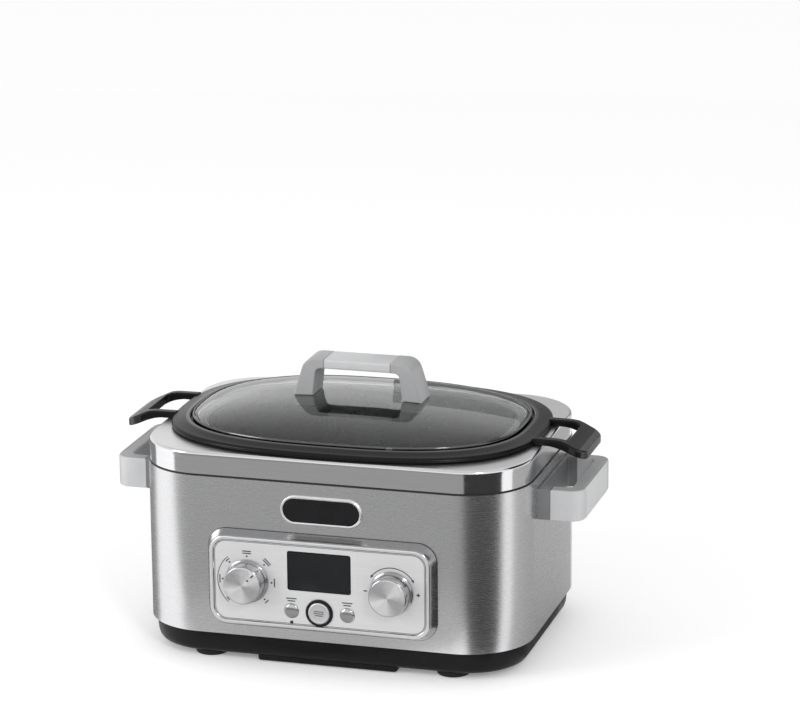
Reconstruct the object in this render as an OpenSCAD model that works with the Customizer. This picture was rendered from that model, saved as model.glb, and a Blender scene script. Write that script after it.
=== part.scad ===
// Slow cooker: a brushed steel base with a heated well, a cast pot, a wire rack and a glass lid.
// The origin is on the worktop under the middle of the whole outline: +X right, +Y back, +Z up.
// Lengths are in millimetres.

/* [Base] */
// Width of the steel housing
body_w = 400; // [392:1:412]
// Depth of the steel housing
body_d = 288; // [284:1:300]
// Radius of the housing's upright corners
body_r = 67; // [60:1:72]
// Height of the housing's lower edge above the worktop
body_z = 30; // [28:1:34]
// Height of the housing's upper edge
body_top = 193.8; // [192:0.1:198]
// Thickness of the housing's sheet steel
sheet = 1.2; // [0.8:0.1:1.5]
// Height of the top cover above its gasket
cover_h = 23.8; // [22:0.1:26]
// Thickness of the gasket under the top cover
gasket_h = 1; // [0.6:0.1:1.5]

/* [Heated well] */
// Half width of the opening in the top cover
open_a = 180; // [178:1:184]
// Half depth of the opening in the top cover
open_b = 136; // [132:1:137]
// Half width of the well inside its wall
well_a = 161.8; // [161:0.1:164]
// Half depth of the well inside its wall
well_b = 117.8; // [117:0.1:120]
// Height of the well's floor above the worktop
well_z = 84; // [82:1:86]

/* [Control panel] */
// Width of the panel frame where it meets the housing
panel_w = 238; // [230:1:244]
// Height of the panel frame where it meets the housing
panel_h = 101.6; // [98:0.1:104]
// Height of the panel's middle above the worktop
panel_z = 91.8; // [90:0.1:94]
// How far the panel frame stands out from the housing
panel_out = 12; // [11:1:14]
// Distance of each dial from the middle
knob_x = 75; // [72:1:76]
// Height of both dials above the worktop
knob_z = 92; // [90:1:94]
// Radius of a dial's cap
knob_r = 20; // [18:0.5:21]
// Height of the three push buttons above the worktop
button_z = 64.5; // [63:0.5:65]
// Distance of the two small buttons from the middle
button_x = 29; // [28:0.5:31]

/* [Pot] */
// Half width of the pot's flange
flange_a = 192.5; // [190:0.5:193]
// Half depth of the pot's flange
flange_b = 141; // [140:0.5:141.5]
// Height of the pot from its underside to the top of its flange
pot_h = 135; // [130:1:136]
// Wall thickness of the cast pot
pot_wall = 3; // [2.5:0.1:3.5]
// Distance from the middle to the end of a pot handle
pot_reach = 243; // [240:1:246]

/* [Rack] */
// Half width of the rack's rim wire
rack_a = 144; // [140:1:145]
// Half depth of the rack's rim wire
rack_b = 94; // [90:1:95]
// Height of the rack's rim above its feet
rack_h = 46; // [40:1:48]
// Diameter of the rack's wire
wire_d = 4; // [3.5:0.1:4]

/* [Lid] */
// Half width of the lid over its steel rim
lid_a = 172; // [168:0.5:172.5]
// Half depth of the lid over its steel rim
lid_b = 120.5; // [118:0.5:121]
// Height of the steel rim band
band_h = 7; // [6:0.5:8]
// Rise of the glass dome above the rim band
dome_h = 19; // [16:1:22]
// Height of the lid handle above the underside of the rim band
handle_h = 63.5; // [60:0.5:68]

/* [Base handles] */
// Distance from the middle to the outside of a base handle
grip_reach = 246; // [242:1:250]
// Half length of a base handle along the housing
grip_half = 64; // [60:1:66]
// Height of the lower edge of a base handle
grip_z = 150; // [146:1:152]
// Height of a base handle from its lower to its upper edge
grip_h = 32; // [28:1:33]

/* [Hidden] */
$fn = 64;

// Exponent and number of sides of every oval outline
oval_n = 2.7;
oval_steps = 72;

front_y = -body_d / 2;
back_y = body_d / 2;
cover_z = body_top + gasket_h;
cover_top = cover_z + cover_h;
cover_t = 2;
trim_t = 2;
trim_z = cover_top - cover_t - trim_t;

// Dial and panel faces, measured along Y
bezel_y = front_y - panel_out;
fascia_y = bezel_y + 1;
fascia_t = 2;
fascia_back = fascia_y + fascia_t;
knob_gap = 0.3;
skirt_t = 4;
cap_t = 13.7;
skirt_y = fascia_y - knob_gap;
cap_y = skirt_y - skirt_t;
knob_front = cap_y - cap_t;
shaft_r = 3;
shaft_gap = 0.05;
switch_y = fascia_back + 0.2;
switch_t = 16.8;
board_y = switch_y + switch_t;
board_t = 1.6;

// The dials reach further out than the cord gland at the back, so the model moves back by half of that
gland_out = 6;
gland_x = 120;
gland_z = 50;
shift_y = -(knob_front + back_y + gland_out) / 2;

// Underside of the pot's flange rests just above the cover
seat_gap = 0.3;
flange_z = cover_top + seat_gap;
flange_t = 9.1;
pot_top = flange_z + flange_t;
pot_z = pot_top - pot_h;
pot_floor = pot_z + pot_wall;
recess_h = 5;
recess_a = 174;
recess_b = 122.5;

lid_z = pot_top - recess_h + seat_gap;
rack_rim_z = pot_floor + seat_gap + wire_d / 2 + rack_h;

tray_inset = 5;
tray_floor_z = 6;
tray_t = 3;
foot_r = 17;
foot_x = 127;
foot_y = 115;
shield_z = 62;
screw_x = 181;
screw_y = 50;

badge_w = 84;
badge_h = 29;
badge_z = 166.5;
badge_t = 2.2;

// ---- Shared outlines and sweeps ----

module rounded(w, d, r) {
    square([w - 2 * r, d], center = true);
    square([w, d - 2 * r], center = true);
    for (x = [-1, 1], y = [-1, 1])
        translate([x * (w / 2 - r), y * (d / 2 - r)]) circle(r);
}

module stadium(w, h) {
    square([w - h, h], center = true);
    for (x = [-1, 1]) translate([x * (w - h) / 2, 0]) circle(h / 2);
}

function oval_power(v) = sign(v) * pow(abs(v), 2 / oval_n);
function oval_points(a, b) = [
    for (i = [0:oval_steps - 1])
        let (t = 360 * i / oval_steps)
        [a * oval_power(cos(t)), b * oval_power(sin(t))]
];

module oval(a, b) {
    polygon(oval_points(a, b));
}

module oval_ring(a, b, t) {
    difference() {
        oval(a, b);
        oval(a - t, b - t);
    }
}

// A closed skin through oval rings given as [half width, half depth, height], capped at both ends
module oval_loft(rings) {
    count = len(rings);
    points = [for (g = rings) for (p = oval_points(g[0], g[1])) [p[0], p[1], g[2]]];
    sides = [
        for (k = [0:count - 2], i = [0:oval_steps - 1])
            let (j = (i + 1) % oval_steps, lower = k * oval_steps, upper = lower + oval_steps)
            each [[lower + i, upper + j, lower + j], [lower + i, upper + i, upper + j]]
    ];
    first = [for (i = [0:oval_steps - 1]) i];
    last = [for (i = [oval_steps - 1:-1:0]) (count - 1) * oval_steps + i];
    polyhedron(points, concat([first], sides, [last]));
}

function unit(v) = v / norm(v);

// A round wire along a closed flat path; flat is the normal of the path's plane
module wire_loop(path, r, flat, sides = 8) {
    count = len(path);
    points = [
        for (k = [0:count - 1])
            let (
                along = unit(path[(k + 1) % count] - path[(k + count - 1) % count]),
                out = cross(along, flat)
            )
            for (s = [0:sides - 1])
                path[k] + r * (cos(360 * s / sides) * out + sin(360 * s / sides) * flat)
    ];
    faces = [
        for (k = [0:count - 1], s = [0:sides - 1])
            let (
                next = (k + 1) % count,
                a = k * sides + s,
                b = k * sides + (s + 1) % sides,
                c = next * sides + (s + 1) % sides,
                d = next * sides + s
            )
            each [[a, b, c], [a, c, d]]
    ];
    polyhedron(points, faces);
}

// Stands a flat XZ outline up and thickens it towards the front from the given Y
module on_front(y, t) {
    translate([0, y, 0]) rotate([90, 0, 0]) linear_extrude(t) children();
}

// Both ends of the base, the right one as drawn and the left one mirrored
module mirrored_x(left) {
    mirror([left ? 1 : 0, 0, 0]) children();
}

// Places the base outline's middle so that the whole part is centred
module placed() {
    translate([0, shift_y, 0]) children();
}

// ---- Base ----

module tray_outline(z, t, inset) {
    inner_r = body_r - inset;
    translate([0, 0, z]) linear_extrude(t) rounded(body_w - 2 * inset, body_d - 2 * inset, inner_r);
}

module base_tray() {
    bottom_inset = 9;
    post_r = 5;
    rib_w = 146;
    rib_t = 5;
    placed() color("#1b1b1c") difference() {
        union() {
            difference() {
                hull() {
                    tray_outline(body_z - 8, 8, tray_inset);
                    tray_outline(tray_floor_z, 1, bottom_inset);
                }
                hull() {
                    tray_outline(body_z - 8, 9, tray_inset + tray_t);
                    tray_outline(tray_floor_z + tray_t, 1, bottom_inset + tray_t);
                }
            }
            translate([-rib_w / 2, front_y + bottom_inset + 1, tray_floor_z - rib_t])
                cube([rib_w, 14, rib_t + 1]);
            for (x = [-1, 1], y = [-1, 1]) {
                translate([x * screw_x, y * screw_y, tray_floor_z + 1])
                    cylinder(r = post_r, h = body_z - tray_floor_z - 1);
                translate([x * 140, y * 85, tray_floor_z + 1])
                    cylinder(r = post_r, h = shield_z - tray_floor_z - 1);
            }
        }
        for (x = [-1, 1], y = [-1, 1])
            translate([x * screw_x, y * screw_y, 0]) cylinder(r = 1.7, h = body_z + 2);
    }
}

module foot(x, y) {
    placed() color("#101010") translate([x * foot_x, y * foot_y, 0]) rotate_extrude()
        polygon([[0, 0], [foot_r - 1.5, 0], [foot_r, 1.5], [foot_r, tray_floor_z], [0, tray_floor_z]]);
}

module tray_screws() {
    placed() color("silver") for (x = [-1, 1], y = [-1, 1])
        translate([x * screw_x, y * screw_y, tray_floor_z - 2.2]) {
            cylinder(r = 3.5, h = 2.2);
            cylinder(r = 1.6, h = body_z - tray_floor_z + 6);
        }
}

module outer_housing() {
    flange_in = 22;
    vent_w = 3;
    vent_h = 26;
    placed() color("#b9bbbd") difference() {
        union() {
            translate([0, 0, body_z]) linear_extrude(body_top - body_z) difference() {
                rounded(body_w, body_d, body_r);
                rounded(body_w - 2 * sheet, body_d - 2 * sheet, body_r - sheet);
            }
            translate([0, 0, body_z]) linear_extrude(sheet) difference() {
                rounded(body_w - sheet, body_d - sheet, body_r - sheet / 2);
                rounded(body_w - 2 * flange_in, body_d - 2 * flange_in, body_r - flange_in);
            }
            translate([0, 0, body_top - sheet]) linear_extrude(sheet) difference() {
                rounded(body_w - sheet, body_d - sheet, body_r - sheet / 2);
                rounded(body_w - 18, body_d - 18, body_r - 9);
            }
        }
        // Opening behind the control panel
        translate([-102.5, front_y - 1, panel_z - 40]) cube([205, 8, 80]);
        // Holes for the handle screws
        for (y = [-1, 1])
            translate([-body_w / 2 - 1, y * (grip_half - 6.5), grip_z + grip_h / 2])
                rotate([0, 90, 0]) cylinder(r = 2.3, h = body_w + 2);
        // Holes for the tray screws
        for (x = [-1, 1], y = [-1, 1])
            translate([x * screw_x, y * screw_y, body_z - 1]) cylinder(r = 1.8, h = 4);
        // Cord outlet and vents at the back
        translate([gland_x, back_y + 1, gland_z]) rotate([90, 0, 0]) cylinder(r = 6.6, h = 8);
        for (side = [-1, 1], i = [0:5])
            translate([side * (100 + 6 * i) - vent_w / 2, back_y - 4, badge_z - vent_h / 2])
                cube([vent_w, 8, vent_h]);
    }
}

module cover_gasket() {
    placed() color("#141414") translate([0, 0, body_top]) linear_extrude(gasket_h) difference() {
        rounded(body_w - 3, body_d - 3, body_r - 1.5);
        rounded(body_w - 16, body_d - 16, body_r - 8);
    }
}

module top_cover() {
    wall = 2;
    edge = 1;
    placed() color("#c6c8ca") difference() {
        union() {
            translate([0, 0, cover_z]) linear_extrude(cover_h - edge)
                rounded(body_w - 2, body_d - 2, body_r - 1);
            translate([0, 0, cover_top - edge]) linear_extrude(edge)
                rounded(body_w - 2 - 2 * edge, body_d - 2 - 2 * edge, body_r - 1 - edge);
        }
        translate([0, 0, cover_z - 1]) linear_extrude(cover_h - cover_t + 1)
            rounded(body_w - 2 - 2 * wall, body_d - 2 - 2 * wall, body_r - 1 - wall);
        translate([0, 0, cover_z]) linear_extrude(cover_h + 1) oval(open_a, open_b);
    }
}

module well_trim() {
    overlap = 3;
    placed() color("#55575a") translate([0, 0, trim_z]) linear_extrude(trim_t) difference() {
        oval(open_a + overlap, open_b + overlap);
        oval(well_a, well_b);
    }
}

module heating_well() {
    rim_w = 14;
    rim_z = trim_z - sheet;
    placed() color("#d4d5d6") difference() {
        union() {
            translate([0, 0, well_z]) linear_extrude(rim_z - well_z + sheet)
                oval(well_a + sheet, well_b + sheet);
            translate([0, 0, rim_z]) linear_extrude(sheet) oval(well_a + rim_w, well_b + rim_w);
        }
        translate([0, 0, well_z + sheet]) linear_extrude(body_top) oval(well_a, well_b);
    }
}

module heater_plate() {
    placed() color("#8c8f92") translate([0, 0, well_z + sheet]) linear_extrude(6) oval(130, 86);
}

module wall_heater_band() {
    placed() color("#b08d57") translate([0, 0, 110]) linear_extrude(40)
        oval_ring(well_a + sheet + 2.2, well_b + sheet + 2.2, 2);
}

module insulation_blanket() {
    placed() color("#dcd6c4") translate([0, 0, 95]) linear_extrude(108)
        oval_ring(well_a + 11, well_b + 11, 7);
}

module heat_shield() {
    placed() color("#a9abad") translate([0, 0, shield_z]) linear_extrude(1) difference() {
        rounded(330, 220, 40);
        circle(24);
    }
}

module temperature_sensor() {
    placed() color("#8a8a8a") translate([0, 0, well_z - 6]) {
        cylinder(r = 9, h = 6);
        translate([0, 0, -8]) cylinder(r = 3, h = 9);
    }
}

module thermal_cutout() {
    placed() color("#e8e4da") translate([40, -10, well_z - 7]) cube([24, 12, 7]);
}

module power_board() {
    board = [120, 70, 1.6];
    origin = [-20, -20, 20];
    placed() {
        color("#1f5c34") translate(origin) cube(board);
        color("#222222") translate(origin + [8, 8, 1.6]) cube([28, 22, 16]);
        color("#d9c27a") translate(origin + [44, 8, 1.6]) cube([24, 26, 20]);
        color("#30343c") for (x = [82, 100])
            translate(origin + [x, 20, 1.6]) cylinder(r = 7, h = 24);
        // Posts that stand the board on the tray floor
        color("#1b1b1c") for (x = [6, 114], y = [6, 64])
            translate(origin + [x, y, 0])
                translate([0, 0, tray_floor_z + tray_t - origin[2]])
                    cylinder(r = 3, h = origin[2] - tray_floor_z - tray_t);
    }
}

module control_board() {
    placed() color("#1f5c34") on_front(board_y + board_t, board_t)
        translate([0, panel_z]) square([194, 70], center = true);
}

module tact_switches() {
    placed() color("#222222") for (x = [-button_x, 0, button_x]) {
        on_front(board_y, 7.5) translate([x, button_z]) square([6, 6], center = true);
        on_front(board_y - 7.5, 3) translate([x, button_z]) circle(1.7);
    }
}

module display_module() {
    placed() color("#2c2f33") on_front(fascia_back + 7, 7)
        translate([0, window_z]) square([72, 46], center = true);
}

window_w = 66;
window_h = 41;
window_z = 106.5;
window_r = 2.5;

module display_window() {
    placed() color("#16181b") on_front(fascia_back, fascia_t)
        translate([0, window_z]) rounded(window_w - 0.2, window_h - 0.2, window_r - 0.1);
}

fascia_w = 219;
fascia_h = 83;

// The four posts inside the panel frame's corners that carry the control board
module panel_posts(y, t) {
    for (x = [-1, 1], z = [-1, 1])
        on_front(y, t) translate([x * 98, panel_z + z * 36]) circle(3);
}

module panel_bezel() {
    draft = 5;
    placed() color("#cfd1d3") difference() {
        union() {
            hull() {
                on_front(front_y, 1) translate([0, panel_z]) rounded(panel_w, panel_h, 20);
                on_front(bezel_y + 1, 1) translate([0, panel_z])
                    rounded(panel_w - 2 * draft, panel_h - 2 * draft, 17);
            }
            panel_posts(board_y, board_y - front_y + 1);
        }
        on_front(fascia_back, panel_out) translate([0, panel_z]) rounded(fascia_w, fascia_h, 13);
        difference() {
            on_front(front_y + 0.1, panel_out) translate([0, panel_z]) rounded(204, 80.4, 10);
            panel_posts(board_y, board_y - fascia_back);
        }
    }
}

small_r = 7.4;
start_r = 11;
button_gap = 0.35;

module panel_fascia() {
    placed() color("#c9cbcd") on_front(fascia_back, fascia_t) difference() {
        translate([0, panel_z]) rounded(fascia_w - 0.2, fascia_h - 0.2, 12.9);
        for (x = [-knob_x, knob_x]) translate([x, knob_z]) circle(shaft_r + 0.8);
        for (x = [-button_x, button_x]) translate([x, button_z]) circle(small_r + button_gap);
        translate([0, button_z]) circle(start_r + button_gap);
        translate([-button_x, button_z - 12]) circle(1.8);
        translate([0, window_z]) rounded(window_w, window_h, window_r);
    }
}

module start_button_ring() {
    placed() color("#2a2c2e") on_front(fascia_y, 1.5) translate([0, button_z]) difference() {
        circle(14.2);
        circle(start_r + button_gap);
    }
}

module indicator_lens() {
    placed() color("#5a1d1a") on_front(fascia_back, fascia_t + 0.4)
        translate([-button_x, button_z - 12]) circle(1.8);
}

// A rotary control behind the panel, bored for a dial's shaft
module rotary(x) {
    on_front(board_y, switch_t) translate([x, knob_z]) difference() {
        square([24, 24], center = true);
        circle(shaft_r + shaft_gap);
    }
}

module selector_switch() {
    placed() color("#33363a") rotary(-knob_x);
}

module adjust_encoder() {
    placed() color("#3a4a66") rotary(knob_x);
}

module badge_plate() {
    border = 2;
    placed() color("#17181a") difference() {
        on_front(front_y, badge_t) translate([0, badge_z]) stadium(badge_w, badge_h);
        on_front(front_y - badge_t + 0.5, 1) translate([0, badge_z])
            stadium(badge_w - 2 * border, badge_h - 2 * border);
    }
}

module cord_gland() {
    placed() color("#161616") difference() {
        union() {
            on_front(back_y + 3, 3) translate([gland_x, gland_z]) circle(9);
            on_front(back_y + gland_out, 12) translate([gland_x, gland_z]) circle(6.4);
        }
        on_front(back_y + gland_out + 1, 14) translate([gland_x, gland_z]) circle(3.5);
    }
}

// ---- Base handles ----

arm_w = 13;
bracket_x = body_w / 2 + 13;
bar_t = 14;
inlay_t = 2;
inlay_half = 46;

// Outline of the whole loop from above, from the housing's side to the outer bar
module loop_outline() {
    depth = grip_reach - body_w / 2;
    translate([body_w / 2, 0]) difference() {
        union() {
            translate([0, -grip_half]) square([depth - 12, 2 * grip_half]);
            translate([0, -grip_half + 12]) square([depth, 2 * grip_half - 24]);
            for (y = [-1, 1]) translate([depth - 12, y * (grip_half - 12)]) circle(12);
        }
        translate([3, -grip_half + arm_w])
            square([depth - bar_t - 3, 2 * (grip_half - arm_w)]);
    }
}

module screw_bores(r, reach) {
    for (y = [-1, 1])
        translate([body_w / 2 - 1, y * (grip_half - arm_w / 2), grip_z + grip_h / 2])
            rotate([0, 90, 0]) cylinder(r = r, h = reach);
}

module handle_bracket(left) {
    placed() color("#4a4b4e") mirrored_x(left) difference() {
        translate([0, 0, grip_z]) linear_extrude(grip_h) intersection() {
            loop_outline();
            translate([body_w / 2, -grip_half]) square([13, 2 * grip_half]);
        }
        screw_bores(2.2, 20);
    }
}

module handle_grip(left) {
    placed() color("#a3a4a8") mirrored_x(left) difference() {
        translate([0, 0, grip_z]) linear_extrude(grip_h) intersection() {
            loop_outline();
            translate([bracket_x, -grip_half]) square([100, 2 * grip_half]);
        }
        translate([grip_reach - inlay_t, -inlay_half, grip_z - 1])
            cube([inlay_t + 1, 2 * inlay_half, grip_h + 2]);
        screw_bores(2.2, 29.5);
    }
}

module handle_inlay(left) {
    placed() color("#b7b8bb") mirrored_x(left)
        translate([grip_reach - inlay_t, -inlay_half + 0.1, grip_z])
            cube([inlay_t, 2 * inlay_half - 0.2, grip_h]);
}

module handle_screws() {
    placed() color("silver") for (left = [false, true]) mirrored_x(left)
        for (y = [-1, 1])
            translate([body_w / 2 - sheet, y * (grip_half - arm_w / 2), grip_z + grip_h / 2])
                rotate([0, 90, 0]) {
                    cylinder(r = 2, h = 28);
                    translate([0, 0, -2.5]) cylinder(r = 4, h = 2.5);
                }
}

// ---- Dials and buttons ----

// Turns a profile in (radius, distance towards the front) about a dial's axis
module turned(x, y, z = knob_z) {
    translate([x, y, z]) rotate([90, 0, 0]) rotate_extrude() children();
}

module dial_cap(x, pointer) {
    socket = 7;
    difference() {
        turned(x, cap_y) polygon([
            [shaft_r, 0], [knob_r, 0], [knob_r, cap_t - 1.5], [knob_r - 1.5, cap_t],
            [0, cap_t], [0, socket], [shaft_r, socket]
        ]);
        if (pointer)
            translate([x, knob_front + 0.5, knob_z]) rotate([90, 45, 0])
                translate([-0.8, 8, 0]) cube([1.6, 10, 2]);
    }
}

module dial_skirt(x) {
    turned(x, skirt_y) polygon([
        [shaft_r, 0], [knob_r + 2.5, 0], [knob_r + 2.5, skirt_t - 1], [knob_r + 1.5, skirt_t],
        [shaft_r, skirt_t]
    ]);
}

module dial_shaft(x) {
    inside = 11;
    turned(x, switch_y + inside)
        square([shaft_r, switch_y + inside - cap_y + 7]);
}

module selector_cap() {
    placed() color("#c4c6c8") dial_cap(-knob_x, true);
}

module selector_skirt() {
    placed() color("#8f9194") dial_skirt(-knob_x);
}

module selector_shaft() {
    placed() color("#9a9c9e") dial_shaft(-knob_x);
}

module adjust_cap() {
    placed() color("#c4c6c8") dial_cap(knob_x, false);
}

module adjust_skirt() {
    placed() color("#8f9194") dial_skirt(knob_x);
}

module adjust_shaft() {
    placed() color("#9a9c9e") dial_shaft(knob_x);
}

// A push button: a head in the panel's hole, a flange that keeps it in, and a stem to its switch
module push_button(x, r, proud) {
    travel = 1;
    flange_back = fascia_back + 0.1 + travel;
    stem_end = board_y - 10.5 - travel - 0.1;
    turned(x, flange_back, button_z) polygon([
        [0, 0], [r + 1.4, 0], [r + 1.4, 1], [r, 1],
        [r, flange_back - fascia_y + proud - 1], [r - 1, flange_back - fascia_y + proud],
        [0, flange_back - fascia_y + proud]
    ]);
    turned(x, stem_end, button_z) square([2, stem_end - flange_back + 0.5]);
}

module keep_warm_button() {
    placed() color("#bfc1c3") push_button(-button_x, small_r, 2);
}

module start_button() {
    placed() color("#bfc1c3") push_button(0, start_r, 2.6);
}

module set_button() {
    placed() color("#bfc1c3") push_button(button_x, small_r, 2);
}

// ---- Pot ----

// Rings around a rounded lower corner, from the flat bottom out to the upright wall
function corner_rings(a, b, r, z) = [
    for (t = [0:18:90]) [a - r + r * sin(t), b - r + r * sin(t), z + r - r * cos(t)]
];

module pot_shell() {
    body_a = 158.5;
    body_b = 114;
    taper = 5;
    neck = flange_z - 2;
    rings = concat(
        corner_rings(body_a - taper, body_b - taper, 25, pot_z),
        [
            [body_a, body_b, neck],
            [body_a + 1, body_b + 1, flange_z],
            [flange_a - 4, flange_b - 4, flange_z],
            [flange_a, flange_b, flange_z + 2.5],
            [flange_a, flange_b, pot_top - 2.5],
            [flange_a - 2.5, flange_b - 2.5, pot_top],
            [recess_a + 1.5, recess_b + 1.5, pot_top],
            [recess_a, recess_b, pot_top - 1],
            [recess_a, recess_b, pot_top - recess_h],
            [body_a + 1.5, body_b + 1.5, pot_top - recess_h],
            [body_a - pot_wall, body_b - pot_wall, neck - 6]
        ],
        [
            for (t = [90:-18:0])
                let (r = 16, a = body_a - taper - pot_wall, b = body_b - taper - pot_wall)
                [a - r + r * sin(t), b - r + r * sin(t), pot_floor + r - r * cos(t)]
        ]
    );
    oval_loft(rings);
}

module pot_handle(left) {
    half = 40;
    arm = 9.5;
    root = flange_a - 5;
    drop = pot_top - 14;
    bar_x = pot_reach - 21;
    mirrored_x(left) intersection() {
        // Side view: level from the flange, then cranked down to the bar
        translate([0, half, 0]) rotate([90, 0, 0]) linear_extrude(2 * half) polygon([
            [root, pot_top - 1.8], [pot_reach - 27, pot_top - 2.2], [pot_reach - 20, pot_top - 4.4],
            [pot_reach, drop], [pot_reach - 2, drop - 8], [pot_reach - 22, drop + 0.6],
            [pot_reach - 30, flange_z - 1.4], [body_w / 2 + 1, flange_z + 0.1], [root, flange_z + 0.1]
        ]);
        // Seen from above: two arms and a bar around a finger gap
        translate([0, 0, drop - 10]) linear_extrude(40) difference() {
            union() {
                translate([root, -half]) square([pot_reach - root - 10, 2 * half]);
                translate([root, -half + 10]) square([pot_reach - root, 2 * half - 20]);
                for (y = [-1, 1]) translate([pot_reach - 10, y * (half - 10)]) circle(10);
            }
            translate([root - 1, -half + arm])
                square([bar_x - root + 1, 2 * (half - arm)]);
        }
    }
}

module cooking_pot() {
    placed() color("#232324") {
        pot_shell();
        pot_handle(false);
        pot_handle(true);
    }
}

// ---- Rack ----

module rack_basket() {
    wall = 1;
    depth = 16;
    a = rack_a - wire_d / 2;
    b = rack_b - wire_d / 2;
    placed() color("#8d8f92") difference() {
        translate([0, 0, rack_rim_z - depth]) linear_extrude(depth) oval(a, b);
        translate([0, 0, rack_rim_z - depth + wall]) linear_extrude(depth) oval(a - wall, b - wall);
    }
}

module rack_rim_wire() {
    placed() color("#9b9da0")
        wire_loop([for (p = oval_points(rack_a, rack_b)) [p[0], p[1], rack_rim_z]], wire_d / 2, [0, 0, 1]);
}

// Points of a quarter bend from one heading to the next
function bend(x, v, r, from) = [for (t = [0:30:90]) [x + r * cos(from + t), v + r * sin(from + t)]];

// A rectangular wire frame that leans in from the rim down to two feet
module rack_leg(side) {
    half = 62;
    lean = 18;
    r = wire_d / 2;
    bend_r = 5;
    top_y = rack_b + wire_d;
    long = norm([lean, rack_h]);
    down = [0, -lean, -rack_h] / long;
    flat = [0, rack_h, -lean] / long;
    foot_in = 14;
    lift = 6;
    outline = concat(
        bend(half - bend_r, -bend_r, bend_r, 0),
        bend(-half + bend_r, -bend_r, bend_r, 90),
        bend(-half + bend_r, -long + bend_r, bend_r, 180),
        [[-half + foot_in, -long], [-half + foot_in + 4, -long + lift]],
        [[half - foot_in - 4, -long + lift], [half - foot_in, -long]],
        bend(half - bend_r, -long + bend_r, bend_r, 270)
    );
    mirror([0, side > 0 ? 0 : 1, 0])
        wire_loop([for (p = outline) [p[0], top_y, rack_rim_z] - down * p[1]], r, flat);
}

module rack_leg_front() {
    placed() color("#9b9da0") rack_leg(-1);
}

module rack_leg_back() {
    placed() color("#9b9da0") rack_leg(1);
}

// ---- Lid ----

glass_t = 4;
glass_a = lid_a - 2.2;
glass_b = lid_b - 2.2;
dome_z = lid_z + band_h - 1;

// Height of the dome's outer face where an oval has shrunk to the given share of its size
function dome_rise(share, rise) = rise * pow(1 - pow(share, 2.4), 0.75);

module dome(a, b, z, rise) {
    shares = [1, 0.985, 0.95, 0.9, 0.8, 0.65, 0.45, 0.2];
    oval_loft(concat(
        [[a, b, lid_z + 0.5]],
        [for (s = shares) [a * s, b * s, z + dome_rise(s, rise)]]
    ));
}

module outer_dome() {
    dome(glass_a, glass_b, dome_z, dome_h + 1);
}

module inner_dome() {
    translate([0, 0, -0.6]) dome(glass_a - glass_t, glass_b - glass_t, dome_z - glass_t + 0.6, dome_h + 1);
}

post_x = 56;
post_y = 9;

module lid_bores(r) {
    for (x = [-post_x, post_x], y = [-post_y, post_y])
        translate([x, y, lid_z]) cylinder(r = r, h = 42);
}

module lid_glass() {
    placed() color([0.85, 0.9, 0.9, 0.4]) difference() {
        outer_dome();
        inner_dome();
        lid_bores(2.4);
    }
}

module lid_rim_band() {
    placed() color("#a8aaad") translate([0, 0, lid_z]) linear_extrude(band_h)
        oval_ring(lid_a, lid_b, 2);
}

bar_half = 35;
lid_bar_t = 10;
handle_top = lid_z + handle_h;

module lid_post(left) {
    depth = 36;
    foot_z = lid_z + band_h + 10;
    placed() color("#a3a4a8") mirrored_x(left) difference() {
        translate([0, depth / 2, 0]) rotate([90, 0, 0]) linear_extrude(depth) polygon([
            [bar_half, handle_top], [bar_half, handle_top - lid_bar_t],
            [41, handle_top - lid_bar_t - 2], [47, foot_z], [69.5, foot_z], [56, handle_top - 3],
            [53, handle_top]
        ]);
        outer_dome();
        lid_bores(1.6);
    }
}

module lid_handle_bar() {
    placed() color("#b3b4b8") translate([-bar_half, -18, handle_top - lid_bar_t])
        cube([2 * bar_half, 36, lid_bar_t]);
}

clamp_z = lid_z + 11;

module lid_clamps() {
    placed() color("#6c6e71") difference() {
        for (x = [-post_x, post_x])
            translate([x, 0, clamp_z]) linear_extrude(20) rounded(24, 34, 6);
        difference() {
            translate([-100, -40, clamp_z - 1]) cube([200, 80, 40]);
            inner_dome();
        }
        lid_bores(1.8);
    }
}

module lid_screws() {
    placed() color("silver") for (x = [-post_x, post_x], y = [-post_y, post_y])
        translate([x, y, clamp_z - 2]) {
            cylinder(r = 3.2, h = 2);
            cylinder(r = 1.5, h = 26);
        }
}

// ---- Parts ----

base_tray();
foot(-1, -1);  // foot_front_left
foot(1, -1);  // foot_front_right
foot(-1, 1);  // foot_back_left
foot(1, 1);  // foot_back_right
tray_screws();
outer_housing();
cover_gasket();
top_cover();
well_trim();
heating_well();
heater_plate();
wall_heater_band();
insulation_blanket();
heat_shield();
temperature_sensor();
thermal_cutout();
power_board();
control_board();
tact_switches();
display_module();
display_window();
panel_bezel();
panel_fascia();
start_button_ring();
indicator_lens();
selector_switch();
adjust_encoder();
badge_plate();
cord_gland();
handle_bracket(true);  // left_handle_bracket
handle_grip(true);  // left_handle_grip
handle_inlay(true);  // left_handle_inlay
handle_bracket(false);  // right_handle_bracket
handle_grip(false);  // right_handle_grip
handle_inlay(false);  // right_handle_inlay
handle_screws();
selector_cap();
selector_skirt();
selector_shaft();
adjust_cap();
adjust_skirt();
adjust_shaft();
keep_warm_button();
start_button();
set_button();
cooking_pot();
rack_basket();
rack_rim_wire();
rack_leg_front();
rack_leg_back();
lid_glass();
lid_rim_band();
lid_post(true);  // lid_left_post
lid_post(false);  // lid_right_post
lid_handle_bar();
lid_clamps();
lid_screws();
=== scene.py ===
import math

import bmesh
import bpy
from mathutils import Matrix, Vector


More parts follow.
